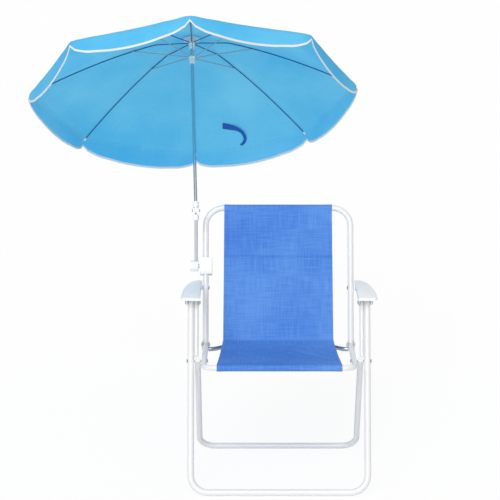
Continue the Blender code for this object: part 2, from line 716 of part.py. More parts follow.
def make_knob(radius, slot_end, body):
    """A lobed knob with its screw, along the Y of the clamp."""
    tip = radius + CLAMP_ROUND + JAW_TRAVEL + GAP
    base = slot_end + CLAMP_REAR + GAP
    knob_rings = []
    for y, scale in ((base, 0.9), (base + KNOB_THICK * 0.2, 1.0), (base + KNOB_THICK * 0.8, 1.0),
                     (base + KNOB_THICK, 0.85)):
        ring = []
        for k in range(KNOB_LOBES * 6):
            angle = 2 * math.pi * k / (KNOB_LOBES * 6)
            reach = (KNOB_RADIUS - KNOB_LOBE_DEPTH * (1 - math.cos(KNOB_LOBES * angle)) / 2) * scale
            ring.append(Vector((reach * math.cos(angle), y, reach * math.sin(angle))))
        knob_rings.append(ring)
    knob = rings_solid("clamp_knob", knob_rings, white_plastic("knob_plastic"), body, smooth=50.0)
    screw = ((0, tip), (SCREW_RADIUS, tip), (SCREW_RADIUS, base + KNOB_THICK / 2), (0, base + KNOB_THICK / 2))
    lay_back = Matrix.Rotation(-math.pi / 2, 4, "X")
    combine(knob, turned("knob_screw", screw, None, body, SMALL_SIDES * 2, lay_back), "UNION")


def make_drum(body):
    """The swivelling socket that the pole stands in."""
    half = DRUM_WIDTH / 2
    shift = (CLAMP_X - CLAMP_OUTER - AXLE_LENGTH - GAP) - half - POLE_X
    profile = ((0, -half), (DRUM_RADIUS - DRUM_ROUND, -half), (DRUM_RADIUS, -half + DRUM_ROUND),
               (DRUM_RADIUS, half - DRUM_ROUND), (DRUM_RADIUS - DRUM_ROUND, half), (0, half))
    drum = turned("pole_socket", profile, white_plastic("socket_plastic"), body, TURNED_SIDES + 4,
                  across_matrix(shift, 0, 0))
    bore = LOWER_POLE / 2 + GAP
    top = DRUM_RADIUS + CUT_OVERRUN
    hole = ((0, -POLE_SEAT - GAP), (bore, -POLE_SEAT - GAP), (bore, top), (0, top))
    combine(drum, turned("cut_socket", hole, None, body), "DIFFERENCE")


def make_lower_pole(body):
    bottom = -POLE_SEAT
    top = DRUM_RADIUS + LOWER_POLE_SHOWN + POLE_IN_KNUCKLE
    path = [Vector((0, 0, bottom)), Vector((0, 0, top))]
    tube("lower_pole", path, LOWER_POLE / 2, Vector((0, 1, 0)), steel("pole_chrome_lower"), body,
         wall=POLE_WALL)
    pin = DRUM_RADIUS + LOWER_POLE_SHOWN + KNUCKLE_HALF
    make_fork(pin, body)


def ear_outline(pin, root):
    """A slab's side view, from its root to a round end about the pin."""
    outline = [(-KNUCKLE_EAR, root)]
    for step in range(9):
        angle = math.pi - math.pi * step / 8
        sign = 1 if pin > root else -1
        outline.append((KNUCKLE_EAR * math.cos(angle), pin + sign * KNUCKLE_EAR * math.sin(angle)))
    return outline + [(KNUCKLE_EAR, root)]


def make_fork(pin, body):
    """The lower half of the knuckle: a collar round the pole with two ears."""
    low = pin - KNUCKLE_HALF
    high = low + KNUCKLE_BODY
    plastic = white_plastic("fork_plastic")
    bore = LOWER_POLE / 2 + GAP
    rounding = KNUCKLE_RADIUS * 0.15
    profile = ((bore, low), (KNUCKLE_RADIUS - rounding, low), (KNUCKLE_RADIUS, low + rounding),
               (KNUCKLE_RADIUS, high), (0, high), (0, low + POLE_IN_KNUCKLE + GAP), (bore, low + POLE_IN_KNUCKLE
               + GAP))
    fork = turned_cup("knuckle_fork", profile, plastic, body)
    slot = TONGUE / 2 + GAP
    for name, side in (("left", -1), ("right", 1)):
        outline = ear_outline(pin, high - rounding)
        ear = prism("ear_" + name, outline, side * slot, side * KNUCKLE_RADIUS, None, body)
        combine(fork, ear, "UNION")
    drill_across(fork, "cut_fork", KNUCKLE_PIN + GAP, 0, pin, -KNUCKLE_RADIUS, KNUCKLE_RADIUS)
    start = -KNUCKLE_RADIUS - GAP
    stop = KNUCKLE_RADIUS + GAP
    head = KNUCKLE_PIN_HEAD_THICK
    pin_profile = ((0, start - head), (KNUCKLE_PIN_HEAD, start - head), (KNUCKLE_PIN_HEAD, start),
                   (KNUCKLE_PIN, start), (KNUCKLE_PIN, stop), (KNUCKLE_PIN_HEAD, stop),
                   (KNUCKLE_PIN_HEAD, stop + head), (0, stop + head))
    turned("tilt_pin", pin_profile, steel("pin_steel"), body, SMALL_SIDES * 2, across_matrix(0, 0, pin))


def turned_cup(name, profile, material, parent):
    """A turned piece with a blind bore: its loop passes twice through the axis."""
    at_axis = [i for i, (radius, height) in enumerate(profile) if radius == 0]
    ordered = profile[at_axis[1]:] + profile[:at_axis[0] + 1]
    return turned(name, ordered, material, parent)


def make_tongue(tilt_body, pole_body):
    """The upper half of the knuckle, with the upper pole standing in it."""
    low = KNUCKLE_HALF - KNUCKLE_BODY
    bore = UPPER_POLE / 2 + GAP
    rounding = KNUCKLE_RADIUS * 0.15
    seat = KNUCKLE_HALF - POLE_IN_KNUCKLE
    profile = ((bore, seat - GAP), (bore, KNUCKLE_HALF), (KNUCKLE_RADIUS - rounding, KNUCKLE_HALF),
               (KNUCKLE_RADIUS, KNUCKLE_HALF - rounding), (KNUCKLE_RADIUS, low + rounding),
               (KNUCKLE_RADIUS - rounding, low), (0, low), (0, seat - GAP))
    collar = turned_cup("knuckle_tongue", profile, white_plastic("tongue_plastic"), pole_body)
    tongue = prism("tongue_slab", ear_outline(0, low + 2 * rounding), -TONGUE / 2, TONGUE / 2, None, tilt_body)
    combine(collar, tongue, "UNION")
    rod = ((0, -TONGUE), (KNUCKLE_PIN + GAP, -TONGUE), (KNUCKLE_PIN + GAP, TONGUE), (0, TONGUE))
    cutter = turned("cut_tongue", rod, None, tilt_body, SMALL_SIDES * 2, across_matrix(0, 0, 0))
    combine(collar, cutter, "DIFFERENCE")
    top = RIB_LEVEL - CROWN_DISC / 2 - GAP
    path = [Vector((0, 0, seat)), Vector((0, 0, top))]
    tube("upper_pole", path, UPPER_POLE / 2, Vector((0, 1, 0)), steel("pole_chrome_upper"), pole_body,
         wall=POLE_WALL)


def make_crown(body):
    bore = UPPER_POLE / 2 + GAP
    disc_low = RIB_LEVEL - CROWN_DISC / 2
    disc_high = RIB_LEVEL + CROWN_DISC / 2
    low = disc_low - CROWN_SOCKET
    top = APEX - CANOPY_THICK / 2 - GAP
    profile = ((0, disc_low), (bore, disc_low), (bore, low), (CROWN_NECK, low), (CROWN_NECK, disc_low),
               (CROWN_RADIUS, disc_low), (CROWN_RADIUS, disc_high), (CROWN_NECK, disc_high), (CROWN_NECK, top),
               (0, top))
    turned("crown", profile, white_plastic("crown_plastic"), body)
    patch_top = fabric_level(2 * PATCH_RADIUS) - CANOPY_THICK / 2 - GAP
    ring = ((CROWN_NECK + GAP, patch_top - PATCH_THICK), (PATCH_RADIUS, patch_top - PATCH_THICK),
            (PATCH_RADIUS, patch_top), (CROWN_NECK + GAP, patch_top))
    turned("crown_patch", ring, canopy_fabric("patch_film"), body)
    base = APEX + CANOPY_THICK / 2 + GAP
    cap = ((0, base), (FINIAL_RADIUS, base), (FINIAL_RADIUS, base + FINIAL_HEIGHT * 0.25),
           (FINIAL_RADIUS * 0.45, base + FINIAL_HEIGHT * 0.5), (FINIAL_RADIUS * 0.35, base + FINIAL_HEIGHT),
           (0, base + FINIAL_HEIGHT))
    turned("finial", cap, white_plastic("finial_plastic"), body)


def make_runner(body):
    """The sliding ring under the crown; its level is its joint's place."""
    bore = UPPER_POLE / 2 + GAP
    disc = RIB_START - STRETCHER_RADIUS - GAP
    half = RUNNER_DISC / 2
    profile = ((bore, -RUNNER_LENGTH), (RUNNER_NECK, -RUNNER_LENGTH), (RUNNER_NECK, -half), (disc, -half),
               (disc, half), (bore, half))
    turned("runner", profile, white_plastic("runner_plastic"), body)


def round_start(path, radius):
    """Adds a small domed start and end to a rod's path, and gives the rod's radius at each point."""
    first = (path[1] - path[0]).normalized()
    last = (path[-1] - path[-2]).normalized()
    dome = radius * 0.85
    path = [path[0] - first * dome] + path + [path[-1] + last * dome]
    return path, [radius * 0.4] + [radius] * (len(path) - 2) + [radius * 0.4]


def make_rib(index, body):
    """A rib from its hinge, first straight and then under the canopy."""
    points = [(RIB_START, RIB_LEVEL)]
    radii = [station(step) for step in range(GORE_STEPS)]
    for radius in [radius for radius in radii if radius > RIB_STRAIGHT] + [RIB_END]:
        points.append((radius, rib_level(radius)))
    path = [Vector((r - RIB_START, 0, h - RIB_LEVEL)) for r, h in points]
    path, radii = round_start(path, RIB_RADIUS)
    tube("rib_%d" % index, path, radii, Vector((0, 1, 0)), steel("rib_steel_%d" % index), body, SMALL_SIDES)


def make_stretcher(index, body):
    """A stretcher beside its rib, from the rib's joint down to the runner."""
    offset = RIB_RADIUS + STRETCHER_RADIUS + GAP
    inner = Vector((RIB_START - RIB_JOINT, offset, RUNNER_LEVEL - JOINT_LEVEL))
    path, radii = round_start([Vector((0, offset, 0)), inner], STRETCHER_RADIUS)
    tube("stretcher_%d" % index, path, radii, Vector((0, 1, 0)), steel("stretcher_steel_%d" % index), body,
         SMALL_SIDES)


def gore_point(radius, level, column):
    """A point of the canopy beside a rib: the cloth is drawn straight from one rib to the next."""
    reach = abs(column)
    side = math.copysign(1, column)
    half = RIB_TURN / 2
    middle = radius * math.cos(half)
    x = radius + (middle * math.cos(half) - radius) * reach
    y = middle * math.sin(half) * reach
    if reach == 1:
        x += GORE_GAP * math.sin(half)
        y -= GORE_GAP * math.cos(half)
    return Vector((x - RIB_START, side * y, level - RIB_LEVEL))


def make_gore(index, body):
    """One eighth of the canopy with its skirt, held by the rib under its middle."""
    profile = []
    for step in range(GORE_STEPS + 1):
        radius = station(step)
        slope = fabric_slope(radius)
        size = math.hypot(1, slope)
        profile.append((radius, fabric_level(radius), slope / size, 1 / size, 0))
    rim = fabric_level(RIM_RADIUS)
    profile.append((RIM_RADIUS + SKIRT_FLARE / 2, rim, 1, 0, 0.5))
    profile.append((RIM_RADIUS + SKIRT_FLARE, rim, 1, 0, 1))
    columns = len(GORE_COLUMN_SHARES)
    rows = len(profile)
    points = []
    for way in (1, -1):
        for radius, level, out, up, drop_share in profile:
            for column in GORE_COLUMN_SHARES:
                drop = (SKIRT_AT_RIB + SKIRT_DIP * abs(column)) * drop_share
                offset = way * CANOPY_THICK / 2
                points.append(gore_point(radius + out * offset, level - drop + up * offset, column))
    faces = []
    layer = rows * columns
    for i in range(rows - 1):
        for k in range(columns - 1):
            a = i * columns + k
            faces.append((a, a + 1, a + columns + 1, a + columns))
            faces.append((layer + a, layer + a + columns, layer + a + columns + 1, layer + a + 1))
    border = [k for k in range(columns)]
    border += [i * columns + columns - 1 for i in range(1, rows)]
    border += [(rows - 1) * columns + k for k in range(columns - 2, -1, -1)]
    border += [i * columns for i in range(rows - 2, 0, -1)]
    for first, second in zip(border, border[1:] + border[:1]):
        faces.append((first, layer + first, layer + second, second))
    solid("gore_%d" % index, points, faces, canopy_fabric("gore_cloth_%d" % index), body, 50.0)


def make_strap(body):
    """The closing strap: a short band that hangs from the canopy's inside and curls back at its end."""
    angle = RIB_TURN / 2 * STRAP_SIDE_SHARE
    radius = STRAP_FROM_CENTRE
    far = radius * math.sin(angle) + STRAP_LENGTH / 2 + STRAP_WIDTH / 2
    level = cloth_level(radius * math.cos(angle) + STRAP_WIDTH / 2, far) - CANOPY_THICK - STRAP_THICK
    spots = []
    for step in range(STRAP_STEPS + 1):
        share = step / STRAP_STEPS
        across = STRAP_LENGTH * (share - 0.5)
        hang = STRAP_DROP * share + STRAP_CURL * math.sin(math.pi * share) ** 2
        spots.append(Vector((radius * math.cos(angle) - RIB_START, -radius * math.sin(angle) + across,
                             level - RIB_LEVEL - hang)))
    rings = []
    for point, side, stretch in path_frames(spots, Vector((1, 0, 0))):
        ring = []
        for wide, thick in ((-1, -1), (1, -1), (1, 1), (-1, 1)):
            ring.append(point + Vector((wide * STRAP_WIDTH / 2, 0, 0)) + side * (thick * STRAP_THICK / 2))
        rings.append(ring)
    rings_solid("closing_strap", rings, make_material("strap_cloth", "#0A5FBF", 0.8), body)


def make_canopy(pole_body):
    make_crown(pole_body)
    make_runner(pivot("runner_pivot", Vector((0, 0, RUNNER_LEVEL)), 0.0, pole_body))
    for index in range(RIBS):
        turn = Matrix.Rotation(RIB_TURN * index, 4, "Z")
        hinge = pivot("rib_pivot_%d" % (index + 1), Vector(), 0.0, pole_body)
        hinge.matrix_local = turn @ Matrix.Translation((RIB_START, 0, RIB_LEVEL))
        joint = Vector((RIB_JOINT - RIB_START, 0, JOINT_LEVEL - RIB_LEVEL))
        make_rib(index + 1, hinge)
        make_gore(index + 1, hinge)
        make_stretcher(index + 1, pivot("stretcher_pivot_%d" % (index + 1), joint, 0.0, hinge))
        if index == RIBS // 4:
            make_strap(hinge)


def main():
    clear_scene()
    front = pivot("front_legs_body", FOOT, -LEAN)
    rear = pivot("rear_legs_body", SEAT_PIVOT, REAR_LEAN)
    seat = pivot("seat_body", SEAT_PIVOT, -SLOPE)
    back = pivot("back_body", BACK_PIVOT, -LEAN)
    make_front_legs(front)
    make_rear_legs(rear)
    make_seat(seat)
    make_back(back)
    make_slings(seat, back)
    for name, side in (("left", -1), ("right", 1)):
        make_arm(name, side, pivot("arm_body_" + name, ARM_PIVOT, -SLOPE))
    clamp = pivot("clamp_body", CLAMP_POINT, -LEAN)
    radius, slot_end, lay_back = make_clamp(clamp)
    make_jaw(radius, lay_back, clamp)
    make_knob(radius, slot_end, clamp)
    drum = pivot("socket_body", DRUM_POINT)
    make_drum(drum)
    make_lower_pole(drum)
    tilt = pivot("tilt_body", KNUCKLE_POINT, -math.radians(UMBRELLA_TILT))
    pole = pivot("pole_body", Vector(), 0.0, tilt)
    pole.matrix_local = Matrix.Rotation(-math.radians(UMBRELLA_LEAN), 4, "Y")
    make_tongue(tilt, pole)
    make_canopy(pole)


main()
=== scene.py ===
# %% [markdown]
# A folding sling chair with a sunshade clamped to its back. The chair's measured solids come in first as a
# fixed frame, and every piece made here but the sling rides on one of their bodies. All lengths are metres.
# Pivots and widths are read from the frame where it holds them, so that a finished piece lies on its
# measured one.

# %% Load the measured model
import json
import math

import bmesh
import bpy
from mathutils import Matrix, Vector

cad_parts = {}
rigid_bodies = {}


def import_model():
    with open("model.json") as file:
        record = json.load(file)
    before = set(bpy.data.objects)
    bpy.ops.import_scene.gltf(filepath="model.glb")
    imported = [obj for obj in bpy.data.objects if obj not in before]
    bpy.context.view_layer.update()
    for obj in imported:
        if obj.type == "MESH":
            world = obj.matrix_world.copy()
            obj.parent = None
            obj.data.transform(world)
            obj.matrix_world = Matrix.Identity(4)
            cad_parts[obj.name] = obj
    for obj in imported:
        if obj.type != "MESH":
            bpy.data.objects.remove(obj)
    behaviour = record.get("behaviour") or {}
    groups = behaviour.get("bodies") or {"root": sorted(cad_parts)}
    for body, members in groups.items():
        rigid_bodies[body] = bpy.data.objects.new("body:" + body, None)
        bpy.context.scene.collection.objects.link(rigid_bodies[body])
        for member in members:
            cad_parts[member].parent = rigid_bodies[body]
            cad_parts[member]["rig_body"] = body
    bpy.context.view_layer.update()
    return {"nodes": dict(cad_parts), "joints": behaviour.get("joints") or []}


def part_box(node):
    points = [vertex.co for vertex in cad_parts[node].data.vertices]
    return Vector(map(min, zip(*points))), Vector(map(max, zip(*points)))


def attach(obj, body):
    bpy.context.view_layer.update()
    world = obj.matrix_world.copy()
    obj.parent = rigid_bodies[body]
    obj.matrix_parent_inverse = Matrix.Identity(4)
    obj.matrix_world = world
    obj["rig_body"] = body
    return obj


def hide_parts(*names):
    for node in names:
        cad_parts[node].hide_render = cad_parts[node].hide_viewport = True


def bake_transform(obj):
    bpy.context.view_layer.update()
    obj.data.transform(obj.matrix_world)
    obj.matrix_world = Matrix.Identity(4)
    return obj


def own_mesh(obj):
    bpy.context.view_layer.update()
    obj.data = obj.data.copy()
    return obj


for thing in list(bpy.data.objects):
    bpy.data.objects.remove(thing, do_unlink=True)
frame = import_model()
joints = {joint["name"]: joint for joint in frame["joints"]}

# %% [markdown]
# This camera was fitted to the chair in the photograph. It stands far away and above the canopy and looks
# down, so its lens is long, and lines that run away from it hardly meet. The chair stands right of the
# picture's middle, which a small step of the camera to the left gives.

# %% Camera
CAMERA_AWAY = 8.434
CAMERA_HEIGHT = 3.140
CAMERA_LEFT = 0.092
CAMERA_DOWN = 15.5
FOCAL_SHARE = 5.706
SENSOR = 36.0

camera_data = bpy.data.cameras.new("camera")
camera_data.sensor_width = SENSOR
camera_data.lens = SENSOR * FOCAL_SHARE
camera_data.clip_end = 100.0
camera = bpy.data.objects.new("camera", camera_data)
camera.location = (-CAMERA_LEFT, -CAMERA_AWAY, CAMERA_HEIGHT)
camera.rotation_euler = (math.radians(90.0 - CAMERA_DOWN), 0.0, 0.0)
bpy.context.scene.collection.objects.link(camera)
bpy.context.scene.camera = camera
bpy.context.scene.view_settings.view_transform = "Standard"
print("lens", round(camera_data.lens, 1), "mm")

# %% [markdown]
# Materials and the world are trees of nodes. Colours are written here as sRGB hex values, as a picture editor
# shows them, but shaders want linear values, so one function converts them. Another adds a node with its
# settings and links in one call, which keeps each tree short enough to read.

# %% Helpers for colours and nodes
def linear(hexcode):
    """An sRGB hex value as the linear colour that shaders use."""
    found = []
    for i in (1, 3, 5):
        value = int(hexcode[i:i + 2], 16) / 255
        found.append(value / 12.92 if value <= 0.04045 else ((value + 0.055) / 1.055) ** 2.4)
    return (*found, 1.0)


def add(tree, kind, settings=None, **links):
    """Adds a node, sets its values and joins the named inputs to other nodes' outputs."""
    node = tree.nodes.new(kind)
    for key, value in (settings or {}).items():
        if key.startswith("in_"):
            node.inputs[key[3:].replace("_", " ")].default_value = value
        else:
            setattr(node, key, value)
    for key, source in links.items():
        slot = int(key[1:]) if key[1:].isdigit() else key.replace("_", " ")
        tree.links.new(source, node.inputs[slot])
    return node


def new_material(name):
    material = bpy.data.materials.new(name)
    material.use_nodes = True
    material.node_tree.nodes.clear()
    return material, material.node_tree


print("the sRGB grey #808080 is", round(linear("#808080")[0], 3), "as a linear value")

# %% [markdown]
# A studio picture of a white chair needs even light. A pale world fills the shadows, and it is darker towards
# both sides, so that round tubes turn grey at their edges. One wide, soft sun shines from the front and
# above, a little from the left. The background is white by Light Path, which shows the camera a plain white
# world and a nearly white floor, so that no more light falls on the chair for it.

# %% World, sun and floor
SUN_LIGHT = 1.55
SUN_SOFTNESS = 35.0
SUN_TILT = 52
SUN_TURN = -16
FLOOR_SIZE = 30.0
FLOOR_DROP = 0.0005
FLOOR_GLOW = 0.9
WORLD_SIDES = 0.22
WORLD_MIDDLE = 0.98

world = bpy.data.worlds.new("studio")
world.use_nodes = True
sky = world.node_tree
sky.nodes.clear()
path = add(sky, "ShaderNodeLightPath")
place = add(sky, "ShaderNodeTexCoord")
ways = add(sky, "ShaderNodeSeparateXYZ", None, Vector=place.outputs["Generated"])
aside = add(sky, "ShaderNodeMath", {"operation": "ABSOLUTE"}, _0=ways.outputs["X"])
strength = add(sky, "ShaderNodeMapRange", {"in_To_Min": WORLD_MIDDLE, "in_To_Max": WORLD_SIDES},
               Value=aside.outputs[0])
fill = add(sky, "ShaderNodeBackground", {"in_Color": (1, 1, 1, 1)}, Strength=strength.outputs[0])
white = add(sky, "ShaderNodeBackground", {"in_Color": (1, 1, 1, 1), "in_Strength": 1.0})
seen = add(sky, "ShaderNodeMath", {"operation": "MAXIMUM"}, _0=path.outputs["Is Camera Ray"],
           _1=path.outputs["Is Transmission Ray"])
mix = add(sky, "ShaderNodeMixShader", None, _0=seen.outputs[0], _1=fill.outputs[0], _2=white.outputs[0])
add(sky, "ShaderNodeOutputWorld", None, Surface=mix.outputs[0])
bpy.context.scene.world = world

sun_data = bpy.data.lights.new("sun", "SUN")
sun_data.energy = SUN_LIGHT
sun_data.angle = math.radians(SUN_SOFTNESS)
sun = bpy.data.objects.new("sun", sun_data)
sun.rotation_euler = (math.radians(SUN_TILT), 0, math.radians(SUN_TURN))
bpy.context.scene.collection.objects.link(sun)

floor_mesh = bpy.data.meshes.new("floor")
half = FLOOR_SIZE / 2
floor_mesh.from_pydata([(-half, -half, -FLOOR_DROP), (half, -half, -FLOOR_DROP), (half, half, -FLOOR_DROP),
                        (-half, half, -FLOOR_DROP)], [], [(0, 1, 2, 3)])
floor = bpy.data.objects.new("floor", floor_mesh)
bpy.context.scene.collection.objects.link(floor)
floor_material, tree = new_material("white floor")
path = add(tree, "ShaderNodeLightPath")
matte = add(tree, "ShaderNodeBsdfDiffuse", {"in_Color": linear("#FAFAFA")})
glow = add(tree, "ShaderNodeEmission", {"in_Color": (1, 1, 1, 1), "in_Strength": 1.0})
seen_share = add(tree, "ShaderNodeMath", {"operation": "MULTIPLY"}, _0=path.outputs["Is Camera Ray"])
seen_share.inputs[1].default_value = FLOOR_GLOW
mix = add(tree, "ShaderNodeMixShader", None, _0=seen_share.outputs[0], _1=matte.outputs[0],
          _2=glow.outputs[0])
add(tree, "ShaderNodeOutputMaterial", None, Surface=mix.outputs[0])
floor_mesh.materials.append(floor_material)
print("sun", SUN_LIGHT, "world from", WORLD_MIDDLE, "to", WORLD_SIDES)

# %% [markdown]
# Powder coat is paint baked on from dry powder. It has a fine orange-peel skin and a soft gloss, which breaks
# up its highlights. ABS moulded in a spark-eroded tool has a fine grain and looks a little duller. Chromium
# plate is nearly a mirror, and zinc plate a greyer, softer one. They differ in colour, gloss and the size of
# their skin, so one function makes them all from two noises on Object coordinates: a fine one for the skin
# and a broad one for slow changes of shade. On all but the powder coat the skin is drawn 0.9 mm apart. That
# is coarser than a real mould's grain, so that it can show.

# %% Hard finishes
PEEL = 0.0022
GRAIN = 0.0009
BROAD_SCALE = 9.0
SHADE_CHANGE = 0.03
GLOSSIER = 0.85
DULLER = 1.2
SKIN_STRENGTH = 0.25


def coated(name, hexcode, roughness, pattern, depth, metallic=0.0, coat=0.0):
    """A paint, plastic or metal with a fine uneven skin whose size is given in metres."""
    material, tree = new_material(name)
    place = add(tree, "ShaderNodeTexCoord")
    fine = add(tree, "ShaderNodeTexNoise", {"in_Scale": 1 / pattern, "in_Detail": 3.0},
               Vector=place.outputs["Object"])
    broad = add(tree, "ShaderNodeTexNoise", {"in_Scale": BROAD_SCALE, "in_Detail": 2.0},
                Vector=place.outputs["Object"])
    base = linear(hexcode)
    dark = tuple(channel * (1 - SHADE_CHANGE) for channel in base[:3]) + (1.0,)
    ramp = add(tree, "ShaderNodeValToRGB", None, Fac=broad.outputs["Fac"])
    ramp.color_ramp.elements[0].color = dark
    ramp.color_ramp.elements[1].color = base
    rough = add(tree, "ShaderNodeMapRange", {"in_To_Min": roughness * GLOSSIER,
                                             "in_To_Max": roughness * DULLER}, Value=broad.outputs["Fac"])
    bump = add(tree, "ShaderNodeBump", {"in_Strength": SKIN_STRENGTH, "in_Distance": depth},
               Height=fine.outputs["Fac"])
    shader = add(tree, "ShaderNodeBsdfPrincipled", {"in_Metallic": metallic, "in_Coat_Weight": coat},
                 Base_Color=ramp.outputs["Color"], Roughness=rough.outputs[0], Normal=bump.outputs[0])
    add(tree, "ShaderNodeOutputMaterial", None, Surface=shader.outputs[0])
    return material


powder_coat = coated("powder coated steel", "#E9E9E9", roughness=0.34, pattern=PEEL, depth=0.0002, coat=0.3)
moulded_abs = coated("moulded ABS", "#F7F7F6", roughness=0.5, pattern=GRAIN, depth=0.0001)
chrome = coated("chromium plated tube", "#D3D6DA", roughness=0.13, pattern=GRAIN, depth=0.00002, metallic=1.0)
zinc = coated("zinc plated steel", "#A9ADB3", roughness=0.33, pattern=GRAIN, depth=0.00005, metallic=1.0)
# The ribs are backlit by the bright cloth and look dark blue, so their wire is given that colour as painted
# shade; galvanised wire itself is grey.
rib_wire_in_painted_shade = coated("dark blue rib wire in painted shade", "#2F5F9A", roughness=0.4, pattern=GRAIN, depth=0.00003,
                   metallic=0.8)
film = coated("frosted vinyl patch", "#BFE0F2", roughness=0.4, pattern=GRAIN, depth=0.00005)
print("hard finishes made")

# %% [markdown]
# The sling is plain-woven polyester, and the canopy a thin, close cloth that lets light through. Threads
# could be modelled one by one, but there are far too many, so two waves on the UV map draw the weave, and
# long thin noise along and across it makes the threads uneven. The UV map is in metres across and along the
# cloth. The sling's real threads are probably about 1 mm apart, which is a guess and too fine to show, so its
# weave is drawn 3.2 mm apart. The tape and the strap have no UV map, so on them only the slow changes of
# shade show.

# %% Cloth finishes
WEAVE = 0.0032
CANOPY_WEAVE = 0.004
RIBBON_WEAVE = 0.003
WEAVE_SHADE = 0.10
WEAVE_STRENGTH = 0.35
SLUB = (14.0, 260.0)
SHADE_FROM = 0.3
SHADE_TO = 0.72
CLOTH_ROUGHNESS = 0.72
CLOTH_GLINT = 0.15
# Painted shade: soft dark lines across the sling at the hems of the sleeves round the front and top bars.
SLEEVE_SHADE_WIDTH = 0.0035
SLEEVE_SHADE_DARK = 0.24
SHADED_SLEEVE_EDGES = (0.036, 0.705)


def woven(name, light, dark, pattern, through=0.0, sheen=0.25, bump_depth=0.0004, mottle=7.0, shaded_sleeve_edges=(),
          slub_depth=0.25):
    """Woven cloth from its UV map in metres, with slow changes of shade and light passing through."""
    material, tree = new_material(name)
    place = add(tree, "ShaderNodeTexCoord")
    parts = add(tree, "ShaderNodeSeparateXYZ", None, Vector=place.outputs["UV"])
    waves = []
    for output in ("X", "Y"):
        turn = add(tree, "ShaderNodeMath", {"operation": "MULTIPLY"}, _0=parts.outputs[output])
        turn.inputs[1].default_value = 2 * math.pi / pattern
        waves.append(add(tree, "ShaderNodeMath", {"operation": "SINE"}, _0=turn.outputs[0]))
    weave = add(tree, "ShaderNodeMath", {"operation": "MULTIPLY"}, _0=waves[0].outputs[0],
                _1=waves[1].outputs[0])
    shade = add(tree, "ShaderNodeTexNoise", {"in_Scale": mottle, "in_Detail": 4.0},
                Vector=place.outputs["Object"])
    for stretch in (SLUB, SLUB[::-1]):
        along = add(tree, "ShaderNodeMapping", {"in_Scale": (*stretch, 1.0)}, Vector=place.outputs["UV"])
        slub = add(tree, "ShaderNodeTexNoise", {"in_Scale": 1.0, "in_Detail": 1.0}, Vector=along.outputs[0])
        part = add(tree, "ShaderNodeMapRange", {"in_To_Min": -slub_depth, "in_To_Max": slub_depth},
                   Value=slub.outputs["Fac"])
        shade = add(tree, "ShaderNodeMath", {"operation": "ADD"}, _0=shade.outputs[0], _1=part.outputs[0])
    scaled = add(tree, "ShaderNodeMath", {"operation": "MULTIPLY"}, _0=weave.outputs[0])
    scaled.inputs[1].default_value = WEAVE_SHADE
    shade = add(tree, "ShaderNodeMath", {"operation": "ADD"}, _0=shade.outputs[0], _1=scaled.outputs[0])
    # Painted shade: each of these darkens a narrow line across the cloth where a sleeve's folded layer ends.
    for seam in shaded_sleeve_edges:
        off = add(tree, "ShaderNodeMath", {"operation": "SUBTRACT"}, _0=parts.outputs["Y"])
        off.inputs[1].default_value = seam
        near = add(tree, "ShaderNodeMath", {"operation": "ABSOLUTE"}, _0=off.outputs[0])
        line = add(tree, "ShaderNodeMapRange", {"in_From_Max": SLEEVE_SHADE_WIDTH, "in_To_Min": SLEEVE_SHADE_DARK,
                                                "in_To_Max": 0.0}, Value=near.outputs[0])
        shade = add(tree, "ShaderNodeMath", {"operation": "SUBTRACT"}, _0=shade.outputs[0],
                    _1=line.outputs[0])
    ramp = add(tree, "ShaderNodeValToRGB", None, Fac=shade.outputs[0])
    ramp.color_ramp.elements[0].position = SHADE_FROM
    ramp.color_ramp.elements[0].color = linear(dark)
    ramp.color_ramp.elements[1].position = SHADE_TO
    ramp.color_ramp.elements[1].color = linear(light)
    bump = add(tree, "ShaderNodeBump", {"in_Strength": WEAVE_STRENGTH, "in_Distance": bump_depth},
               Height=weave.outputs[0])
    shader = add(tree, "ShaderNodeBsdfPrincipled", {"in_Roughness": CLOTH_ROUGHNESS,
                 "in_Sheen_Weight": sheen, "in_Specular_IOR_Level": CLOTH_GLINT},
                 Base_Color=ramp.outputs["Color"], Normal=bump.outputs[0])
    surface = shader
    if through:
        glow = add(tree, "ShaderNodeBsdfTranslucent", None, Color=ramp.outputs["Color"])
        surface = add(tree, "ShaderNodeMixShader", {"in_Fac": through}, _1=shader.outputs[0],
                      _2=glow.outputs[0])
    add(tree, "ShaderNodeOutputMaterial", None, Surface=surface.outputs[0])
    return material


sling_cloth = woven("cobalt polyester weave", "#6397DE", "#447AD0", WEAVE, sheen=0.0, mottle=3.0, shaded_sleeve_edges=SHADED_SLEEVE_EDGES)
canopy_cloth = woven("sky blue umbrella cloth", "#74D0F4", "#52BDEE", CANOPY_WEAVE, through=0.27, sheen=0.0,
                     bump_depth=0.0001, mottle=4.0, slub_depth=0.08)
strap_cloth = woven("dark blue ribbon", "#0F66C4", "#0A55AC", RIBBON_WEAVE)
white_tape = woven("white binding tape", "#FBFBFC", "#EDEFF3", RIBBON_WEAVE, through=0.2)
blue_thread = coated("blue sewing thread", "#1F4FB4", roughness=0.7, pattern=GRAIN, depth=0.00005)
print("cloth finishes made")

# %% [markdown]
# Most pieces here are tubes, wires and bands. Curves with a round bevel could make them, but a row of rings
# joined by four-sided faces gives closed ends and exact sizes, so one function lofts any rings and another
# sweeps a round rod along a path. A third makes the object from points and faces, turns its faces outwards
# and shades it smooth except at sharp edges.

# %% Mesh helpers
SHARP_ANGLE = 40.0
ROD_SIDES = 36
ROUNDED_END_SHARE = 0.25
ROUNDED_END_MOST = 0.0008


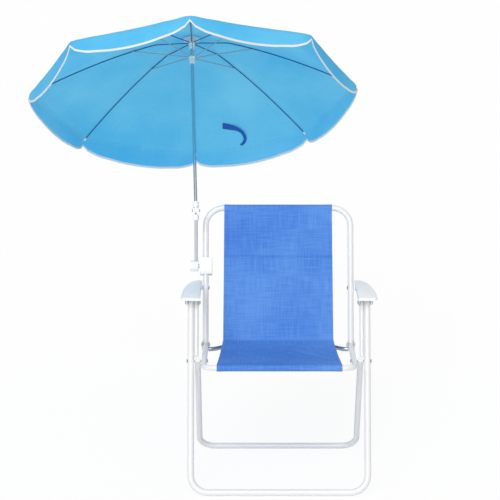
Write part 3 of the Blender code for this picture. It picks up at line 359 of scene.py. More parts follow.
def finish_mesh(name, points, faces, material, sharp=SHARP_ANGLE, uvs=None):
    mesh = bpy.data.meshes.new(name)
    mesh.from_pydata([tuple(point) for point in points], [], faces)
    if uvs:
        layer = mesh.uv_layers.new(name="UVMap")
        for loop in mesh.loops:
            layer.data[loop.index].uv = uvs[loop.vertex_index]
    work = bmesh.new()
    work.from_mesh(mesh)
    bmesh.ops.recalc_face_normals(work, faces=work.faces)
    work.to_mesh(mesh)
    work.free()
    mesh.materials.append(material)
    mesh.shade_smooth()
    mesh.set_sharp_from_angle(angle=math.radians(sharp))
    obj = bpy.data.objects.new(name, mesh)
    bpy.context.scene.collection.objects.link(obj)
    return obj


def loft(name, rings, material, sharp=SHARP_ANGLE):
    """A closed body through a row of rings with the same number of points, with a flat cap at each end."""
    count = len(rings[0])
    points = [point for ring in rings for point in ring]
    faces = [tuple(range(count)), tuple((len(rings) - 1) * count + k for k in range(count))]
    for i in range(len(rings) - 1):
        for k in range(count):
            after = (k + 1) % count
            faces.append((i * count + k, i * count + after, (i + 1) * count + after, (i + 1) * count + k))
    return finish_mesh(name, points, faces, material, sharp)


def sweep(name, path, radius, normal, material, sides=ROD_SIDES):
    """A round rod along a flat path, with a narrow bevel round each end."""
    rings = []
    radii = [radius] * len(path)
    lead = min(radius * ROUNDED_END_SHARE, ROUNDED_END_MOST)
    first = (path[1] - path[0]).normalized()
    last = (path[-1] - path[-2]).normalized()
    path = [path[0], path[0] + first * lead] + path[1:-1] + [path[-1] - last * lead, path[-1]]
    radii = [radius - lead, radius] + radii[1:-1] + [radius, radius - lead]
    for i, point in enumerate(path):
        before = (point - path[i - 1]).normalized() if i else first
        after = (path[i + 1] - point).normalized() if i < len(path) - 1 else before
        along = (before + after).normalized()
        side = along.cross(normal).normalized()
        other = side.cross(along).normalized()
        ring = []
        for k in range(sides):
            angle = 2 * math.pi * k / sides
            ring.append(point + (side * math.cos(angle) + other * math.sin(angle)) * radii[i])
        rings.append(ring)
    return loft(name, rings, material)


def stand_for(piece, body, slot, *nodes):
    """Puts a finished piece on its moving body, in place of the measured nodes that it stands for."""
    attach(piece, body)
    if nodes:
        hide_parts(*nodes)
    return piece


print("sides of a tube:", ROD_SIDES)

# %% [markdown]
# The four bent frames are steel tube, bent cold on a round former. The measured solids could be smoothed, but
# their few facets would still show in the outline, so each frame is swept again on the same middle line with
# more sides. The pivots come from the joints and the widths from the measured boxes.

# %% Bent frames
FRONT_TUBE = 0.021
REAR_TUBE = 0.019
SEAT_TUBE = 0.018
BACK_TUBE = 0.0195
POST_TUBE = 0.0135
FRONT_BEND = 0.055
REAR_BEND = 0.050
SEAT_BEND = 0.035
BACK_BEND = 0.060
REAR_LEG = 0.478
SEAT_NOSE = 0.1155
BACK_LENGTH = 0.449
POST_START = 0.014
TUBE_END = 0.008
RAIL_SETBACK = 0.0158
MEASURED_SIDES = 16
BEND_STEPS = 14
GAP = 0.0003
ACROSS = Vector((1, 0, 0))

seat_pivot = Vector(joints["fold"]["pos_m"])
back_pivot = Vector(joints["back_fold"]["pos_m"])
arm_pivot = Vector(joints["arm_left_turn"]["pos_m"])
up_leg = (arm_pivot - seat_pivot).normalized()
along_seat = (back_pivot - seat_pivot).normalized()
over_seat = ACROSS.cross(along_seat)
behind_back = up_leg.cross(ACROSS)
facet = math.cos(math.pi / MEASURED_SIDES)
foot = Vector((0, 0, FRONT_TUBE / 2 * facet))
front_leg = (seat_pivot - foot).length
arm_rise = (arm_pivot - seat_pivot).length
seat_link = (back_pivot - seat_pivot).length
rear_drop = REAR_TUBE / 2 * facet - seat_pivot.z
rear_down = Vector((0, math.sqrt(REAR_LEG ** 2 - rear_drop ** 2), rear_drop)).normalized()


def bent_u(name, origin, way, half_width, open_end, bar, bend, diameter, body, node):
    """A U whose sides run along way; open_end and bar are distances from the origin along it."""
    sign = 1 if bar > open_end else -1
    side = [Vector((-half_width, 0, open_end))]
    for step in range(BEND_STEPS + 1):
        angle = math.pi / 2 * step / BEND_STEPS
        side.append(Vector((-half_width + bend * (1 - math.cos(angle)), 0,
                            bar - sign * bend * (1 - math.sin(angle)))))
    flat = side + [Vector((-p.x, 0, p.z)) for p in side[::-1]]
    path = [origin + ACROSS * p.x + way * p.z for p in flat]
    piece = sweep(name, path, diameter / 2, ACROSS.cross(way), powder_coat)
    return stand_for(piece, body, "white_paint", node)


front_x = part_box("front_leg_frame")[1][0] - FRONT_TUBE / 2
rear_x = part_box("rear_leg_frame")[1][0] - REAR_TUBE / 2
seat_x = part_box("seat_frame")[1][0] - SEAT_TUBE / 2
back_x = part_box("back_frame")[1][0] - BACK_TUBE / 2
bent_u("front_legs_tube", foot, up_leg, front_x, front_leg + arm_rise + TUBE_END, 0, FRONT_BEND, FRONT_TUBE,
       "front_legs", "front_leg_frame")
bent_u("rear_legs_tube", seat_pivot, rear_down, rear_x, -TUBE_END, REAR_LEG, REAR_BEND, REAR_TUBE,
       "rear_legs", "rear_leg_frame")
bent_u("seat_tube", seat_pivot, along_seat, seat_x, seat_link - RAIL_SETBACK, -SEAT_NOSE, SEAT_BEND,
       SEAT_TUBE, "seat", "seat_frame")
bent_u("back_tube", back_pivot, up_leg, back_x, -TUBE_END, BACK_LENGTH, BACK_BEND, BACK_TUBE, "back",
       "back_frame")
for side_name in ("left", "right"):
    low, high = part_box("arm_post_" + side_name)
    post_x = (low[0] + high[0]) / 2
    start = seat_pivot + up_leg * POST_START
    stop = arm_pivot + up_leg * TUBE_END
    start.x = stop.x = post_x
    post = sweep("post_" + side_name, [start, stop], POST_TUBE / 2, ACROSS, powder_coat)
    stand_for(post, "front_legs", "white_paint", "arm_post_" + side_name)
print("front tube half width", round(front_x, 4))

# %% [markdown]
# The crossbar behind the seat is bare zinc-plated tube that bows forward at its ends to meet the rails.
# It lies in the sling's shadow, and its grey also stands in for that shadow: painted shade. It is one more
# tube on a flat path, so the same sweep makes it, and a smooth step from 0 to 1 shapes each end.

# %% Rear crossbar
CROSSBAR_TUBE = 0.014
CROSSBAR_JOIN = 0.048
CROSSBAR_DROP = 0.006
CROSSBAR_BOW = 0.060
bar_end = seat_x - SEAT_TUBE / 2 - GAP
bar_half = [Vector((-bar_end, seat_link - CROSSBAR_JOIN, 0))]
for step in range(BEND_STEPS + 1):
    share = step / BEND_STEPS
    ease = share * share * (3 - 2 * share)
    bar_half.append(Vector((-bar_end + CROSSBAR_TUBE / 2 + CROSSBAR_BOW * share,
                            seat_link - CROSSBAR_JOIN * (1 - ease), 0)))
bar_path = bar_half + [Vector((-p.x, p.y, 0)) for p in bar_half[::-1]]
bar_path = [seat_pivot + ACROSS * p.x + along_seat * p.y - over_seat * CROSSBAR_DROP for p in bar_path]
# The grey zinc finish is also painted shade for the sling's shadow on the crossbar.
crossbar = sweep("crossbar_tube", bar_path, CROSSBAR_TUBE / 2, over_seat, zinc)
stand_for(crossbar, "seat", "grey_steel", "rear_crossbar")
print("crossbar half length", round(bar_end, 4))

# %% [markdown]
# Armrests and clamp parts are moulded, brackets pressed and bolts cold-headed. Their measured solids already
# have the right shape, so they could be used as they are, but their edges are perfectly sharp, and a real one
# has a narrow rounded edge that catches the light. A merged copy of each gets that edge from a Bevel
# modifier. The patch at the crown is a thin film and keeps its sharp edge.

# %% Rounded copies of the small pieces
EDGE = 0.0006
ARMREST_EDGE = 0.0015
METAL_EDGE = 0.0003
EDGE_SEGMENTS = 2
MERGE_WITHIN = 0.00002
FLAT_WITHIN = 1.0
BEVEL_FROM = 40.0
SMOOTH_WITHIN = 38.0


def rounded_copy(node, material, slot, edge=EDGE):
    source = frame["nodes"][node]
    work = bmesh.new()
    work.from_mesh(source.data)
    bmesh.ops.remove_doubles(work, verts=work.verts, dist=MERGE_WITHIN)
    bmesh.ops.dissolve_limit(work, angle_limit=math.radians(FLAT_WITHIN), verts=work.verts, edges=work.edges)
    mesh = bpy.data.meshes.new(node + "_finished")
    work.to_mesh(mesh)
    work.free()
    mesh.materials.clear()
    mesh.materials.append(material)
    piece = bpy.data.objects.new(node + "_finished", mesh)
    bpy.context.scene.collection.objects.link(piece)
    if edge:
        step = piece.modifiers.new("edges", "BEVEL")
        step.width = edge
        step.segments = EDGE_SEGMENTS
        step.limit_method = "ANGLE"
        step.angle_limit = math.radians(BEVEL_FROM)
    bpy.context.view_layer.update()
    final = bpy.data.meshes.new_from_object(piece.evaluated_get(bpy.context.evaluated_depsgraph_get()))
    piece.modifiers.clear()
    piece.data = final
    final.shade_smooth()
    final.set_sharp_from_angle(angle=math.radians(SMOOTH_WITHIN))
    return stand_for(piece, source["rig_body"], slot, node)


PLASTIC_PIECES = ["armrest_left", "armrest_right", "clamp_block", "clamp_jaw", "clamp_knob", "pole_socket",
                  "knuckle_fork", "knuckle_tongue", "crown", "runner", "finial"]
for node in PLASTIC_PIECES:
    rounded_copy(node, moulded_abs, "white_plastic", ARMREST_EDGE if node.startswith("arm") else EDGE)
for side_name in ("left", "right"):
    rounded_copy("hinge_bracket_" + side_name, powder_coat, "white_paint", METAL_EDGE)
    for kind in ("seat_bolt_", "arm_bolt_", "arm_rear_bolt_", "hinge_pin_"):
        rounded_copy(kind + side_name, zinc, "bright_steel", METAL_EDGE)
rounded_copy("tilt_pin", zinc, "bright_steel", METAL_EDGE)
rounded_copy("crown_patch", film, "pale_film", 0)
print("plastic pieces:", len(PLASTIC_PIECES))

# %% [markdown]
# The sunshade is tilted, and its shape is far easier to write down upright. So it is worked out in its own
# frame, where Z runs up the pole from the knuckle's pin and the first rib points along X, and one matrix
# carries each point into place. The two poles are plated tube, swept straight.

# %% The sunshade's frame and poles
LOWER_POLE = 0.0120
UPPER_POLE = 0.0110
POLE_SEAT = 0.021
POLE_TOP = 0.5997

knuckle = Vector(joints["umbrella_tilt"]["pos_m"])
pole_up = -Vector(joints["runner_slide"]["axis"])
tangent = Vector(joints["umbrella_close"]["axis"])
shade_x = tangent.cross(pole_up).normalized()
shade = Matrix.Translation(knuckle) @ Matrix((shade_x, tangent, pole_up)).transposed().to_4x4()
socket = Vector(joints["socket_swivel"]["pos_m"])
low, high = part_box("lower_pole")
bottom = Vector((socket.x, socket.y, low[2]))
top = Vector((socket.x, socket.y, high[2]))
stand_for(sweep("pole_lower", [bottom, top], LOWER_POLE / 2, ACROSS, chrome), "lower_pole", "chrome_pole",
          "lower_pole")
pole_ends = [shade @ Vector((0, 0, POLE_SEAT)), shade @ Vector((0, 0, POLE_TOP))]
stand_for(sweep("pole_upper", pole_ends, UPPER_POLE / 2, ACROSS, chrome), "umbrella", "chrome_pole",
          "upper_pole")
print("the pole's tilt", round(math.degrees(pole_up.angle(Vector((0, 0, 1)))), 1), "degrees")

# %% [markdown]
# The canopy is eight triangular panels sewn edge to edge, drawn tight over the ribs, with a skirt that dips
# between them and a white tape on its edge. Cloth simulation could stretch it, but a tight canopy follows a
# plain rule: it is a dome along each rib and nearly straight between two ribs. Each piece here is the cloth
# round one rib, so that the canopy can follow the ribs when they fold, and the cloth of neighbours meets
# without a step. The cloth is one layer, because at 0.7 mm thick it gives dark lines at the panels' middles.

# %% Canopy shape
APEX = 0.625
DOME_DROP = 0.190
DOME_POWER = 1.5
RIM = 0.540
NECK = 0.0105
RIBS = 8
HALF_PANEL = math.pi / RIBS
SKIRT_AT_RIB = 0.020
SKIRT_DIP = 0.044
SKIRT_CORNER = 0.42
FOLD_HEIGHT = 0.0020
FOLD_COUNT = 5
SAG_AT_RIM = 0.0045


def dome(radius):
    return APEX - DOME_DROP * (radius / RIM) ** DOME_POWER


def cloth_point(radius, level, column):
    """A place on the cloth: column runs from -1 to 1, from one seamless edge past the rib to the other."""
    reach = abs(column)
    middle = radius * math.cos(HALF_PANEL)
    x = radius + (middle * math.cos(HALF_PANEL) - radius) * reach
    return Vector((x, math.copysign(middle * math.sin(HALF_PANEL) * reach, column), level))


def pucker(radius, column):
    """Small folds that run in from the rim beside each rib, and the cloth's slight sag between ribs."""
    reach = abs(column)
    rim_share = (radius / RIM) ** 3
    folds = FOLD_HEIGHT * rim_share * math.sin(reach * math.pi * FOLD_COUNT) * (1 - reach) ** 2
    return folds - SAG_AT_RIM * rim_share * math.sin(reach * math.pi / 2) ** 2


def skirt_depth(reach):
    """How far the skirt hangs below the rim: least at a rib, where reach is 0, and most between ribs."""
    return SKIRT_AT_RIB + SKIRT_DIP * math.sin(reach * math.pi / 2) ** SKIRT_CORNER


print("the rim lies", round(dome(RIM), 3), "above the knuckle's pin")

# %% [markdown]
# A piece of cloth is a grid of points: rows run from the neck to the rim and on down the skirt, and columns
# from one edge to the other. The same function gives the UV map, in metres across and along the cloth, and
# the lowest row, which the tape follows. The flat cut is the cloth as it lies on the table before sewing.

# %% One piece of the canopy
RINGS = 30
COLUMNS = 24
SKIRT_ROWS = 6
SKIRT_FLARE = 0.004
SKIRT_SAMPLES = 50


def panel(index):
    turn = shade @ Matrix.Rotation(2 * HALF_PANEL * index, 4, "Z")
    rows = []
    for step in range(RINGS + 1):
        radius = NECK + (RIM - NECK) * step / RINGS
        rows.append((radius, dome(radius), 0.0))
    for step in range(1, SKIRT_ROWS + 1):
        share = step / SKIRT_ROWS
        rows.append((RIM + SKIRT_FLARE * share, dome(RIM), share))
    points = []
    uvs = []
    for radius, level, share in rows:
        for k in range(COLUMNS + 1):
            column = -1 + 2 * k / COLUMNS
            drop = skirt_depth(abs(column)) * share
            spot = cloth_point(radius, level - drop + pucker(min(radius, RIM), column), column)
            points.append(turn @ spot)
            uvs.append((spot.y, radius + drop))
    faces = []
    for i in range(len(rows) - 1):
        for k in range(COLUMNS):
            a = i * (COLUMNS + 1) + k
            faces.append((a, a + 1, a + COLUMNS + 2, a + COLUMNS + 1))
    edge = points[-(COLUMNS + 1):]
    return points, faces, uvs, edge, turn


def flat_cut():
    """The flat width, length and area of one panel: a triangle from the neck to the rim, and its skirt."""
    rise = (RIM - NECK) / RINGS
    run = sum(math.hypot(rise, dome(NECK + rise * i) - dome(NECK + rise * (i + 1))) for i in range(RINGS))
    width = 2 * RIM * math.sin(HALF_PANEL)
    neck = width * NECK / RIM
    drops = [skirt_depth(i / SKIRT_SAMPLES) for i in range(SKIRT_SAMPLES + 1)]
    return width, run + max(drops), (width + neck) / 2 * run + width * sum(drops) / len(drops)


print("flat cut", [round(measure, 3) for measure in flat_cut()])

# %% [markdown]
# The tape is folded over the skirt's edge and sewn, so it is a thin band lofted along the lowest row of the
# cloth. When the ribs fold, real cloth gathers between them. A piece on one rib cannot gather, so both cloth
# and tape grow narrower as the rib's joint closes.

# %% Canopy and tape
TAPE_WIDTH = 0.0075
TAPE_THICK = 0.0022
TAPE_FROM = 0.05
TAPE_LOWERED = 0.15
TAPE_SHARP = 60.0
CLOTH_SHARP = 70.0


def rib_body(index):
    return "rib_%d" % (index + 1)


def binding(name, edge, turn):
    """A folded tape over the skirt's lower edge."""
    up = turn.to_3x3() @ Vector((0, 0, 1))
    out = turn.to_3x3() @ ACROSS
    rings = []
    for point in edge:
        ring = []
        for wide, thick in ((TAPE_FROM, -1), (TAPE_FROM, 1), (1, 1), (1, -1)):
            ring.append(point + up * (TAPE_WIDTH * (wide - TAPE_LOWERED)) + out * (thick * TAPE_THICK / 2))
        rings.append(ring)
    return loft(name, rings, white_tape, TAPE_SHARP)


def make_panel(index):
    points, faces, uvs, edge, turn = panel(index)
    piece = finish_mesh("canopy_%d" % (index + 1), points, faces, canopy_cloth, CLOTH_SHARP, uvs)
    outward = piece.data.polygons[0].normal.dot(pole_up)
    if outward < 0:
        piece.data.flip_normals()
    stand_for(piece, rib_body(index), "canopy_cloth", "gore_%d" % (index + 1))
    tape = binding("tape_%d" % (index + 1), edge, turn)
    stand_for(tape, rib_body(index), "canopy_cloth")
    for cloth in (piece, tape):
        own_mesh(cloth)
    return piece


panels = [make_panel(index) for index in range(RIBS)]
print("canopy pieces:", len(panels))

# %% [markdown]
# Each rib is a thin galvanised wire with a white moulded tip, and a stretcher beside it holds it out. A rib
# lies a little below the cloth and follows its dome, so the dome's own formula, less that gap measured
# square to the cloth, gives its path. A stretcher is straight, from the rib's joint down to the runner.

# %% Ribs, stretchers and tips
RIB_START = 0.012
RIB_LEVEL = 0.606
RIB_STRAIGHT = 0.12
RIB_JOINT = 0.20
RIB_END = 0.535
RIB_RADIUS = 0.0016
RIB_BELOW = 0.0025
RIB_STEPS = 16
STRETCHER_RADIUS = 0.0014
STRETCHER_SIDE = 0.0031
TIP_RADIUS = 0.0034
TIP_LENGTH = 0.012
TIP_ON_RIB = 0.8
TIP_PAST_RIB = 0.2
WIRE_SIDES = 12
TIP_SIDES = 14


def rib_line(radius):
    slope = DOME_DROP * DOME_POWER / RIM * (radius / RIM) ** (DOME_POWER - 1)
    return dome(radius) - RIB_BELOW * math.hypot(1, slope)


for index in range(RIBS):
    turn = shade @ Matrix.Rotation(2 * HALF_PANEL * index, 4, "Z")
    line = [Vector((RIB_START - RIB_RADIUS, 0, RIB_LEVEL))]
    for step in range(RIB_STEPS + 1):
        radius = RIB_STRAIGHT + (RIB_END - RIB_STRAIGHT) * step / RIB_STEPS
        line.append(Vector((radius, 0, rib_line(radius))))
    level = turn.to_3x3() @ Vector((0, 1, 0))
    rib = sweep("rib_wire_%d" % (index + 1), [turn @ p for p in line], RIB_RADIUS, level, rib_wire_in_painted_shade,
                WIRE_SIDES)
    stand_for(rib, rib_body(index), "bright_steel", "rib_%d" % (index + 1))
    joint_level = rib_line(RIB_JOINT)
    arm = [Vector((RIB_JOINT, STRETCHER_SIDE, joint_level)),
           Vector((RIB_START, STRETCHER_SIDE, 2 * joint_level - RIB_LEVEL))]
    stretcher = sweep("stretcher_wire_%d" % (index + 1), [turn @ p for p in arm], STRETCHER_RADIUS, level,
                      zinc, WIRE_SIDES)
    stand_for(stretcher, "stretcher_%d" % (index + 1), "bright_steel", "stretcher_%d" % (index + 1))
    way = (line[-1] - line[-2]).normalized()
    tip = [turn @ (line[-1] - way * TIP_LENGTH * TIP_ON_RIB),
           turn @ (line[-1] + way * TIP_LENGTH * TIP_PAST_RIB)]
    cap = sweep("rib_tip_%d" % (index + 1), tip, TIP_RADIUS, level, moulded_abs, TIP_SIDES)
    stand_for(cap, rib_body(index), "white_plastic")
print("ribs, stretchers and tips:", 3 * RIBS)

# %% [markdown]
# The sling is one piece of cloth: it goes round the seat's front bar, over the seat, up the back and round
# the top bar, with a thicker hem along each side. Cloth simulation could drape it, but a taut sling has one
# clear path, so stations are set along it, each with its place, its outward direction and its width. It is
# one sheet here too, and bends where the seat meets the back.

# %% Path of the sling
SLING_THICK = 0.0016
SLING_FRONT = 0.392
SLING_CREASE = 0.359
SLING_TOP = 0.352
SLING_SAG = 0.006
CREASE_RISE = 0.0145
CREASE_ROUND = 0.016
CREASE_PASSES = 3
HEM_START = 90
HEM_WRAP = 210.0
HEM_STEPS = 24
SEAT_STEPS = 60
BACK_STEPS = 66


def arc_points(centre, first, second, radius, start, stop, steps):
    found = []
    for step in range(steps + 1):
        angle = math.radians(start + (stop - start) * step / steps)
        normal = first * math.cos(angle) + second * math.sin(angle)
        found.append((centre + normal * radius, normal))
    return found


def sagging(start, stop, steps, width_start, width_stop):
    run = stop - start
    over = ACROSS.cross(run.normalized())
    found = []
    for step in range(1, steps):
        share = step / steps
        point = start + run * share - over * (SLING_SAG * math.sin(math.pi * share))
        found.append((point, over, width_start + (width_stop - width_start) * share))
    return found


crease = back_pivot + over_seat * CREASE_RISE
nose = seat_pivot - along_seat * SEAT_NOSE
top_bar = back_pivot + up_leg * BACK_LENGTH
nose_arc = arc_points(nose, along_seat, over_seat, SEAT_TUBE / 2 + GAP + SLING_THICK / 2,
                      HEM_START + HEM_WRAP, HEM_START, HEM_STEPS)
top_arc = arc_points(top_bar, -behind_back, up_leg, BACK_TUBE / 2 + GAP + SLING_THICK / 2, 0, HEM_WRAP,
                     HEM_STEPS)
stations = [(p, n, SLING_FRONT) for p, n in nose_arc]
stations += sagging(nose_arc[-1][0], crease, SEAT_STEPS, SLING_FRONT, SLING_CREASE)
stations += [(crease, (over_seat - behind_back).normalized(), SLING_CREASE)]
stations += sagging(crease, top_arc[0][0], BACK_STEPS, SLING_CREASE, SLING_TOP)
stations += [(p, n, SLING_TOP) for p, n in top_arc]
for smoothing in range(CREASE_PASSES):
    smooth = list(stations)
    for i in range(1, len(stations) - 1):
        if (stations[i][0] - crease).length < CREASE_ROUND:
            point = (stations[i - 1][0] + stations[i][0] * 2 + stations[i + 1][0]) / 4
            normal = (stations[i - 1][1] + stations[i][1] * 2 + stations[i + 1][1]).normalized()
            smooth[i] = (point, normal, stations[i][2])
    stations = smooth
print("stations along the sling:", len(stations))

# %% [markdown]
# The stations carry two layers of points, an upper and a lower one, closed round the border, so that the
# sheet has a real thickness and thicker hems. Two groups of waves move both layers together for the
# wrinkles, and each group fades out away from its middle.

# %% The sling's sheet
SLING_COLUMNS = 36
SLING_SHARP = 60.0
HEM_WIDTH = 0.012
BETWEEN_HEMS = 0.55
WRINKLES_FROM = 0.12
WRINKLES_TO = 0.9
SEAT_FOLDS_ALONG = 0.25
SEAT_FOLDS_LONG = 0.11
SEAT_FOLDS_ACROSS = 0.10
SEAT_FOLDS_WIDE = 0.06
SEAT_FOLDS_SLANT = (0.79, 0.55)
SEAT_FOLDS_WAVES = 140
SEAT_FOLDS_DEPTH = 0.0038
CREASE_FOLDS_ALONG = 0.49
CREASE_FOLDS_LONG = 0.03
CREASE_FOLDS_WAVES = 75
CREASE_FOLDS_SHARE = 0.5
CREASE_FOLDS_DEPTH = 0.0010


def wrinkle(across, along_share):
    """Soft diagonal folds at the seat's right side and short ones at the crease."""
    seat_folds = (math.exp(-((along_share - SEAT_FOLDS_ALONG) / SEAT_FOLDS_LONG) ** 2)
                  * math.exp(-((across - SEAT_FOLDS_ACROSS) / SEAT_FOLDS_WIDE) ** 2))
    wave = math.sin((across * SEAT_FOLDS_SLANT[0] + along_share * SEAT_FOLDS_SLANT[1]) * SEAT_FOLDS_WAVES)
    crease_folds = (math.exp(-((along_share - CREASE_FOLDS_ALONG) / CREASE_FOLDS_LONG) ** 2)
                    * math.sin(across * CREASE_FOLDS_WAVES) * CREASE_FOLDS_SHARE)
    return SEAT_FOLDS_DEPTH * seat_folds * wave + CREASE_FOLDS_DEPTH * crease_folds


def sling_sheet():
    lengths = [0.0]
    for i in range(1, len(stations)):
        lengths.append(lengths[-1] + (stations[i][0] - stations[i - 1][0]).length)
    total = lengths[-1]
    over, under, uvs = [], [], []
    for (point, normal, width), length in zip(stations, lengths):
        for k in range(SLING_COLUMNS + 1):
            across = (k / SLING_COLUMNS - 0.5) * width
            hem = 1.0 if abs(across) > width / 2 - HEM_WIDTH else BETWEEN_HEMS
            shift = wrinkle(across, length / total) if WRINKLES_FROM < length / total < WRINKLES_TO else 0.0
            over.append(point + ACROSS * across + normal * (shift + SLING_THICK / 2 * hem))
            under.append(point + ACROSS * across + normal * (shift - SLING_THICK / 2 * hem))
            uvs.append((across, length))
    count = SLING_COLUMNS + 1
    layer = len(over)
    faces = []
    for i in range(len(stations) - 1):
        for k in range(SLING_COLUMNS):
            a = i * count + k
            faces.append((a, a + 1, a + count + 1, a + count))
            faces.append((layer + a, layer + a + count, layer + a + count + 1, layer + a + 1))
    border = list(range(count)) + [i * count + count - 1 for i in range(1, len(stations))]
    border += [(len(stations) - 1) * count + k for k in range(count - 2, -1, -1)]
    border += [i * count for i in range(len(stations) - 2, 0, -1)]
    for first, second in zip(border, border[1:] + border[:1]):
        faces.append((first, layer + first, layer + second, second))
    area = sum((lengths[i + 1] - lengths[i]) * (stations[i][2] + stations[i + 1][2]) / 2
               for i in range(len(stations) - 1))
    sheet = finish_mesh("sling", over + under, faces, sling_cloth, SLING_SHARP, uvs + uvs)
    return sheet, total, area


sling, sling_length, sling_area = sling_sheet()
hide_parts("seat_sling", "back_sling")
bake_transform(sling)
print("sling length", round(sling_length, 3), "area", round(sling_area, 3))

# %% [markdown]
# A row of lock stitches holds each hem. They repeat along a line by the hundred, which is what Geometry Nodes
# are for: a tree sets one small stitch at every step along a line, turned to follow it, and the result is
# made a plain mesh.

# %% Stitch tree
STITCH_STEP = 0.0045
STITCH_LENGTH = 0.0032
STITCH_RADIUS = 0.00035
STITCH_SIDES = 6


def stitch_tree():
    tree = bpy.data.node_groups.new("stitches", "GeometryNodeTree")
    tree.interface.new_socket("Geometry", in_out="INPUT", socket_type="NodeSocketGeometry")
    tree.interface.new_socket("Step", in_out="INPUT", socket_type="NodeSocketFloat")
    tree.interface.new_socket("Geometry", in_out="OUTPUT", socket_type="NodeSocketGeometry")
    start = add(tree, "NodeGroupInput")
    to_curve = add(tree, "GeometryNodeMeshToCurve", None, _0=start.outputs[0])
    spread = add(tree, "GeometryNodeResampleCurve", {"mode": "LENGTH"}, Curve=to_curve.outputs[0],
                 Length=start.outputs[1])
    along = add(tree, "GeometryNodeInputTangent")
    face = add(tree, "FunctionNodeAlignRotationToVector", {"axis": "Z"}, Vector=along.outputs[0])
    stitch = add(tree, "GeometryNodeMeshCylinder", {"in_Vertices": STITCH_SIDES, "in_Radius": STITCH_RADIUS,
                                                    "in_Depth": STITCH_LENGTH})
    copies = add(tree, "GeometryNodeInstanceOnPoints", None, Points=spread.outputs[0],
                 Instance=stitch.outputs[0], Rotation=face.outputs[0])
    real = add(tree, "GeometryNodeRealizeInstances", None, _0=copies.outputs[0])
    dress = add(tree, "GeometryNodeSetMaterial", {"in_Material": blue_thread}, Geometry=real.outputs[0])
    add(tree, "NodeGroupOutput", None, _0=dress.outputs[0])
    return tree


stitches = stitch_tree()
print("nodes in the stitch tree:", len(stitches.nodes))

# %% [markdown]
# Four rows of stitches run along the side hems. Two more cross the cloth, where the sleeves round the front
# and top bars are sewn down. The side rows stop short of the crease, where the cloth bends between two
# bodies, so every row rides on one body.

# %% Stitch rows
HEM_INSET = 0.0100
STITCH_LIFT = 0.42
CLEAR_OF_CREASE_ON_SEAT = 8
CLEAR_OF_CREASE_ON_BACK = 10
FRONT_ROW_PAST_NOSE = 3
TOP_ROW_FROM_END = 50
HEM_ROW_SHARES = (-1, -0.5, 0, 0.5, 1)


def stitch_row(name, spots, body):
    mesh = bpy.data.meshes.new(name)
    mesh.from_pydata([tuple(spot) for spot in spots], [(i, i + 1) for i in range(len(spots) - 1)], [])
    row = bpy.data.objects.new(name, mesh)
    bpy.context.scene.collection.objects.link(row)
    step = row.modifiers.new("stitches", "NODES")
    step.node_group = stitches
    for socket in stitches.interface.items_tree:
        if socket.name == "Step" and socket.in_out == "INPUT":
            step[socket.identifier] = STITCH_STEP
    bpy.context.view_layer.update()
    made = bpy.data.meshes.new_from_object(row.evaluated_get(bpy.context.evaluated_depsgraph_get()))
    row.modifiers.clear()
    row.data = made
    return stand_for(row, body, "blue_sling")


def on_hem(station, share):
    """A stitch's place at the cloth's upper face: share runs from -1 at the left hem to 1 at the right."""
    point, normal, width = station
    return point + ACROSS * share * (width / 2 - HEM_INSET) + normal * (SLING_THICK * STITCH_LIFT)


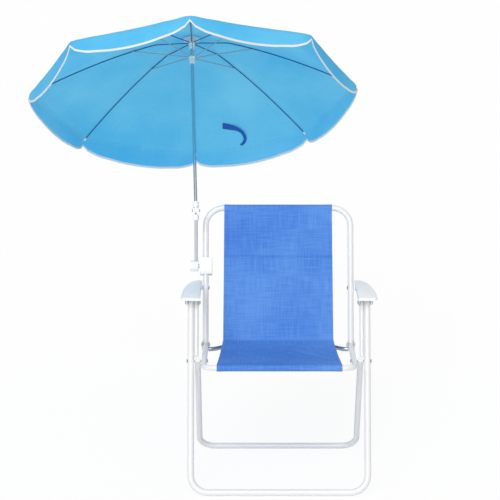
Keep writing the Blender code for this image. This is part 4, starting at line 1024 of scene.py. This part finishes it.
crease_at = len(nose_arc) + SEAT_STEPS - 1
seat_rows = stations[HEM_STEPS:crease_at - CLEAR_OF_CREASE_ON_SEAT]
back_rows = stations[crease_at + CLEAR_OF_CREASE_ON_BACK:-len(top_arc)]
for side_name, side in (("left", -1), ("right", 1)):
    for body, part in (("seat", seat_rows), ("back", back_rows)):
        stitch_row("stitches_%s_%s" % (body, side_name), [on_hem(station, side) for station in part], body)
for name, body, index in (("front", "seat", HEM_STEPS + FRONT_ROW_PAST_NOSE),
                          ("top", "back", len(stations) - TOP_ROW_FROM_END)):
    stitch_row("stitches_hem_" + name, [on_hem(stations[index], share) for share in HEM_ROW_SHARES], body)
print("seam stations on seat and back:", len(seat_rows), len(back_rows))

# %% [markdown]
# The closing strap is a folded ribbon, sewn flat inside the canopy, and its narrower tail turns out towards
# the rim. A straight band would do for the ribbon alone, but the tail bends, so a band is lofted through a
# few places. Each is a distance out from the pole, a distance sideways from the rib, and the width there.

# %% Closing strap
STRAP_OFF = 0.0042
STRAP_THICK = 0.0011
STRAP_CURL = 0.006
STRAP_FACING = (0.42, -0.17, 1)
STRAP_SHARP = 70.0
STRAP_RIB = 2
STRAP_LINE = ((0.398, 0.096, 0.026), (0.3975, 0.110, 0.026), (0.3965, 0.123, 0.025), (0.3955, 0.137, 0.020),
              (0.398, 0.151, 0.015), (0.405, 0.163, 0.013), (0.417, 0.170, 0.012), (0.430, 0.173, 0.011),
              (0.443, 0.171, 0.011), (0.455, 0.165, 0.010), (0.463, 0.157, 0.009))


def under_cloth(out, aside):
    """The cloth's level above a place that lies out from the pole and sideways from the rib."""
    return dome(out + aside * math.tan(HALF_PANEL))


def strap_ribbon():
    turn = shade @ Matrix.Rotation(2 * HALF_PANEL * STRAP_RIB, 4, "Z")
    facing = Vector(STRAP_FACING).normalized()
    spots = [(Vector((out, -aside, under_cloth(out, aside) - STRAP_OFF)), width)
             for out, aside, width in STRAP_LINE]
    rings = []
    for i, (spot, width) in enumerate(spots):
        way = (spots[min(i + 1, len(spots) - 1)][0] - spots[max(i - 1, 0)][0]).normalized()
        side = way.cross(facing).normalized()
        curl = Vector((0, 0, -STRAP_CURL * math.sin(math.pi * i / (len(spots) - 1)) ** 2))
        ring = []
        for wide, thick in ((-1, -1), (1, -1), (1, 1), (-1, 1)):
            ring.append(turn @ (spot + curl + side * (wide * width / 2) + facing * (thick * STRAP_THICK / 2)))
        rings.append(ring)
    return loft("strap_ribbon", rings, strap_cloth, STRAP_SHARP)


strap = stand_for(strap_ribbon(), rib_body(STRAP_RIB), "strap_cloth", "closing_strap")
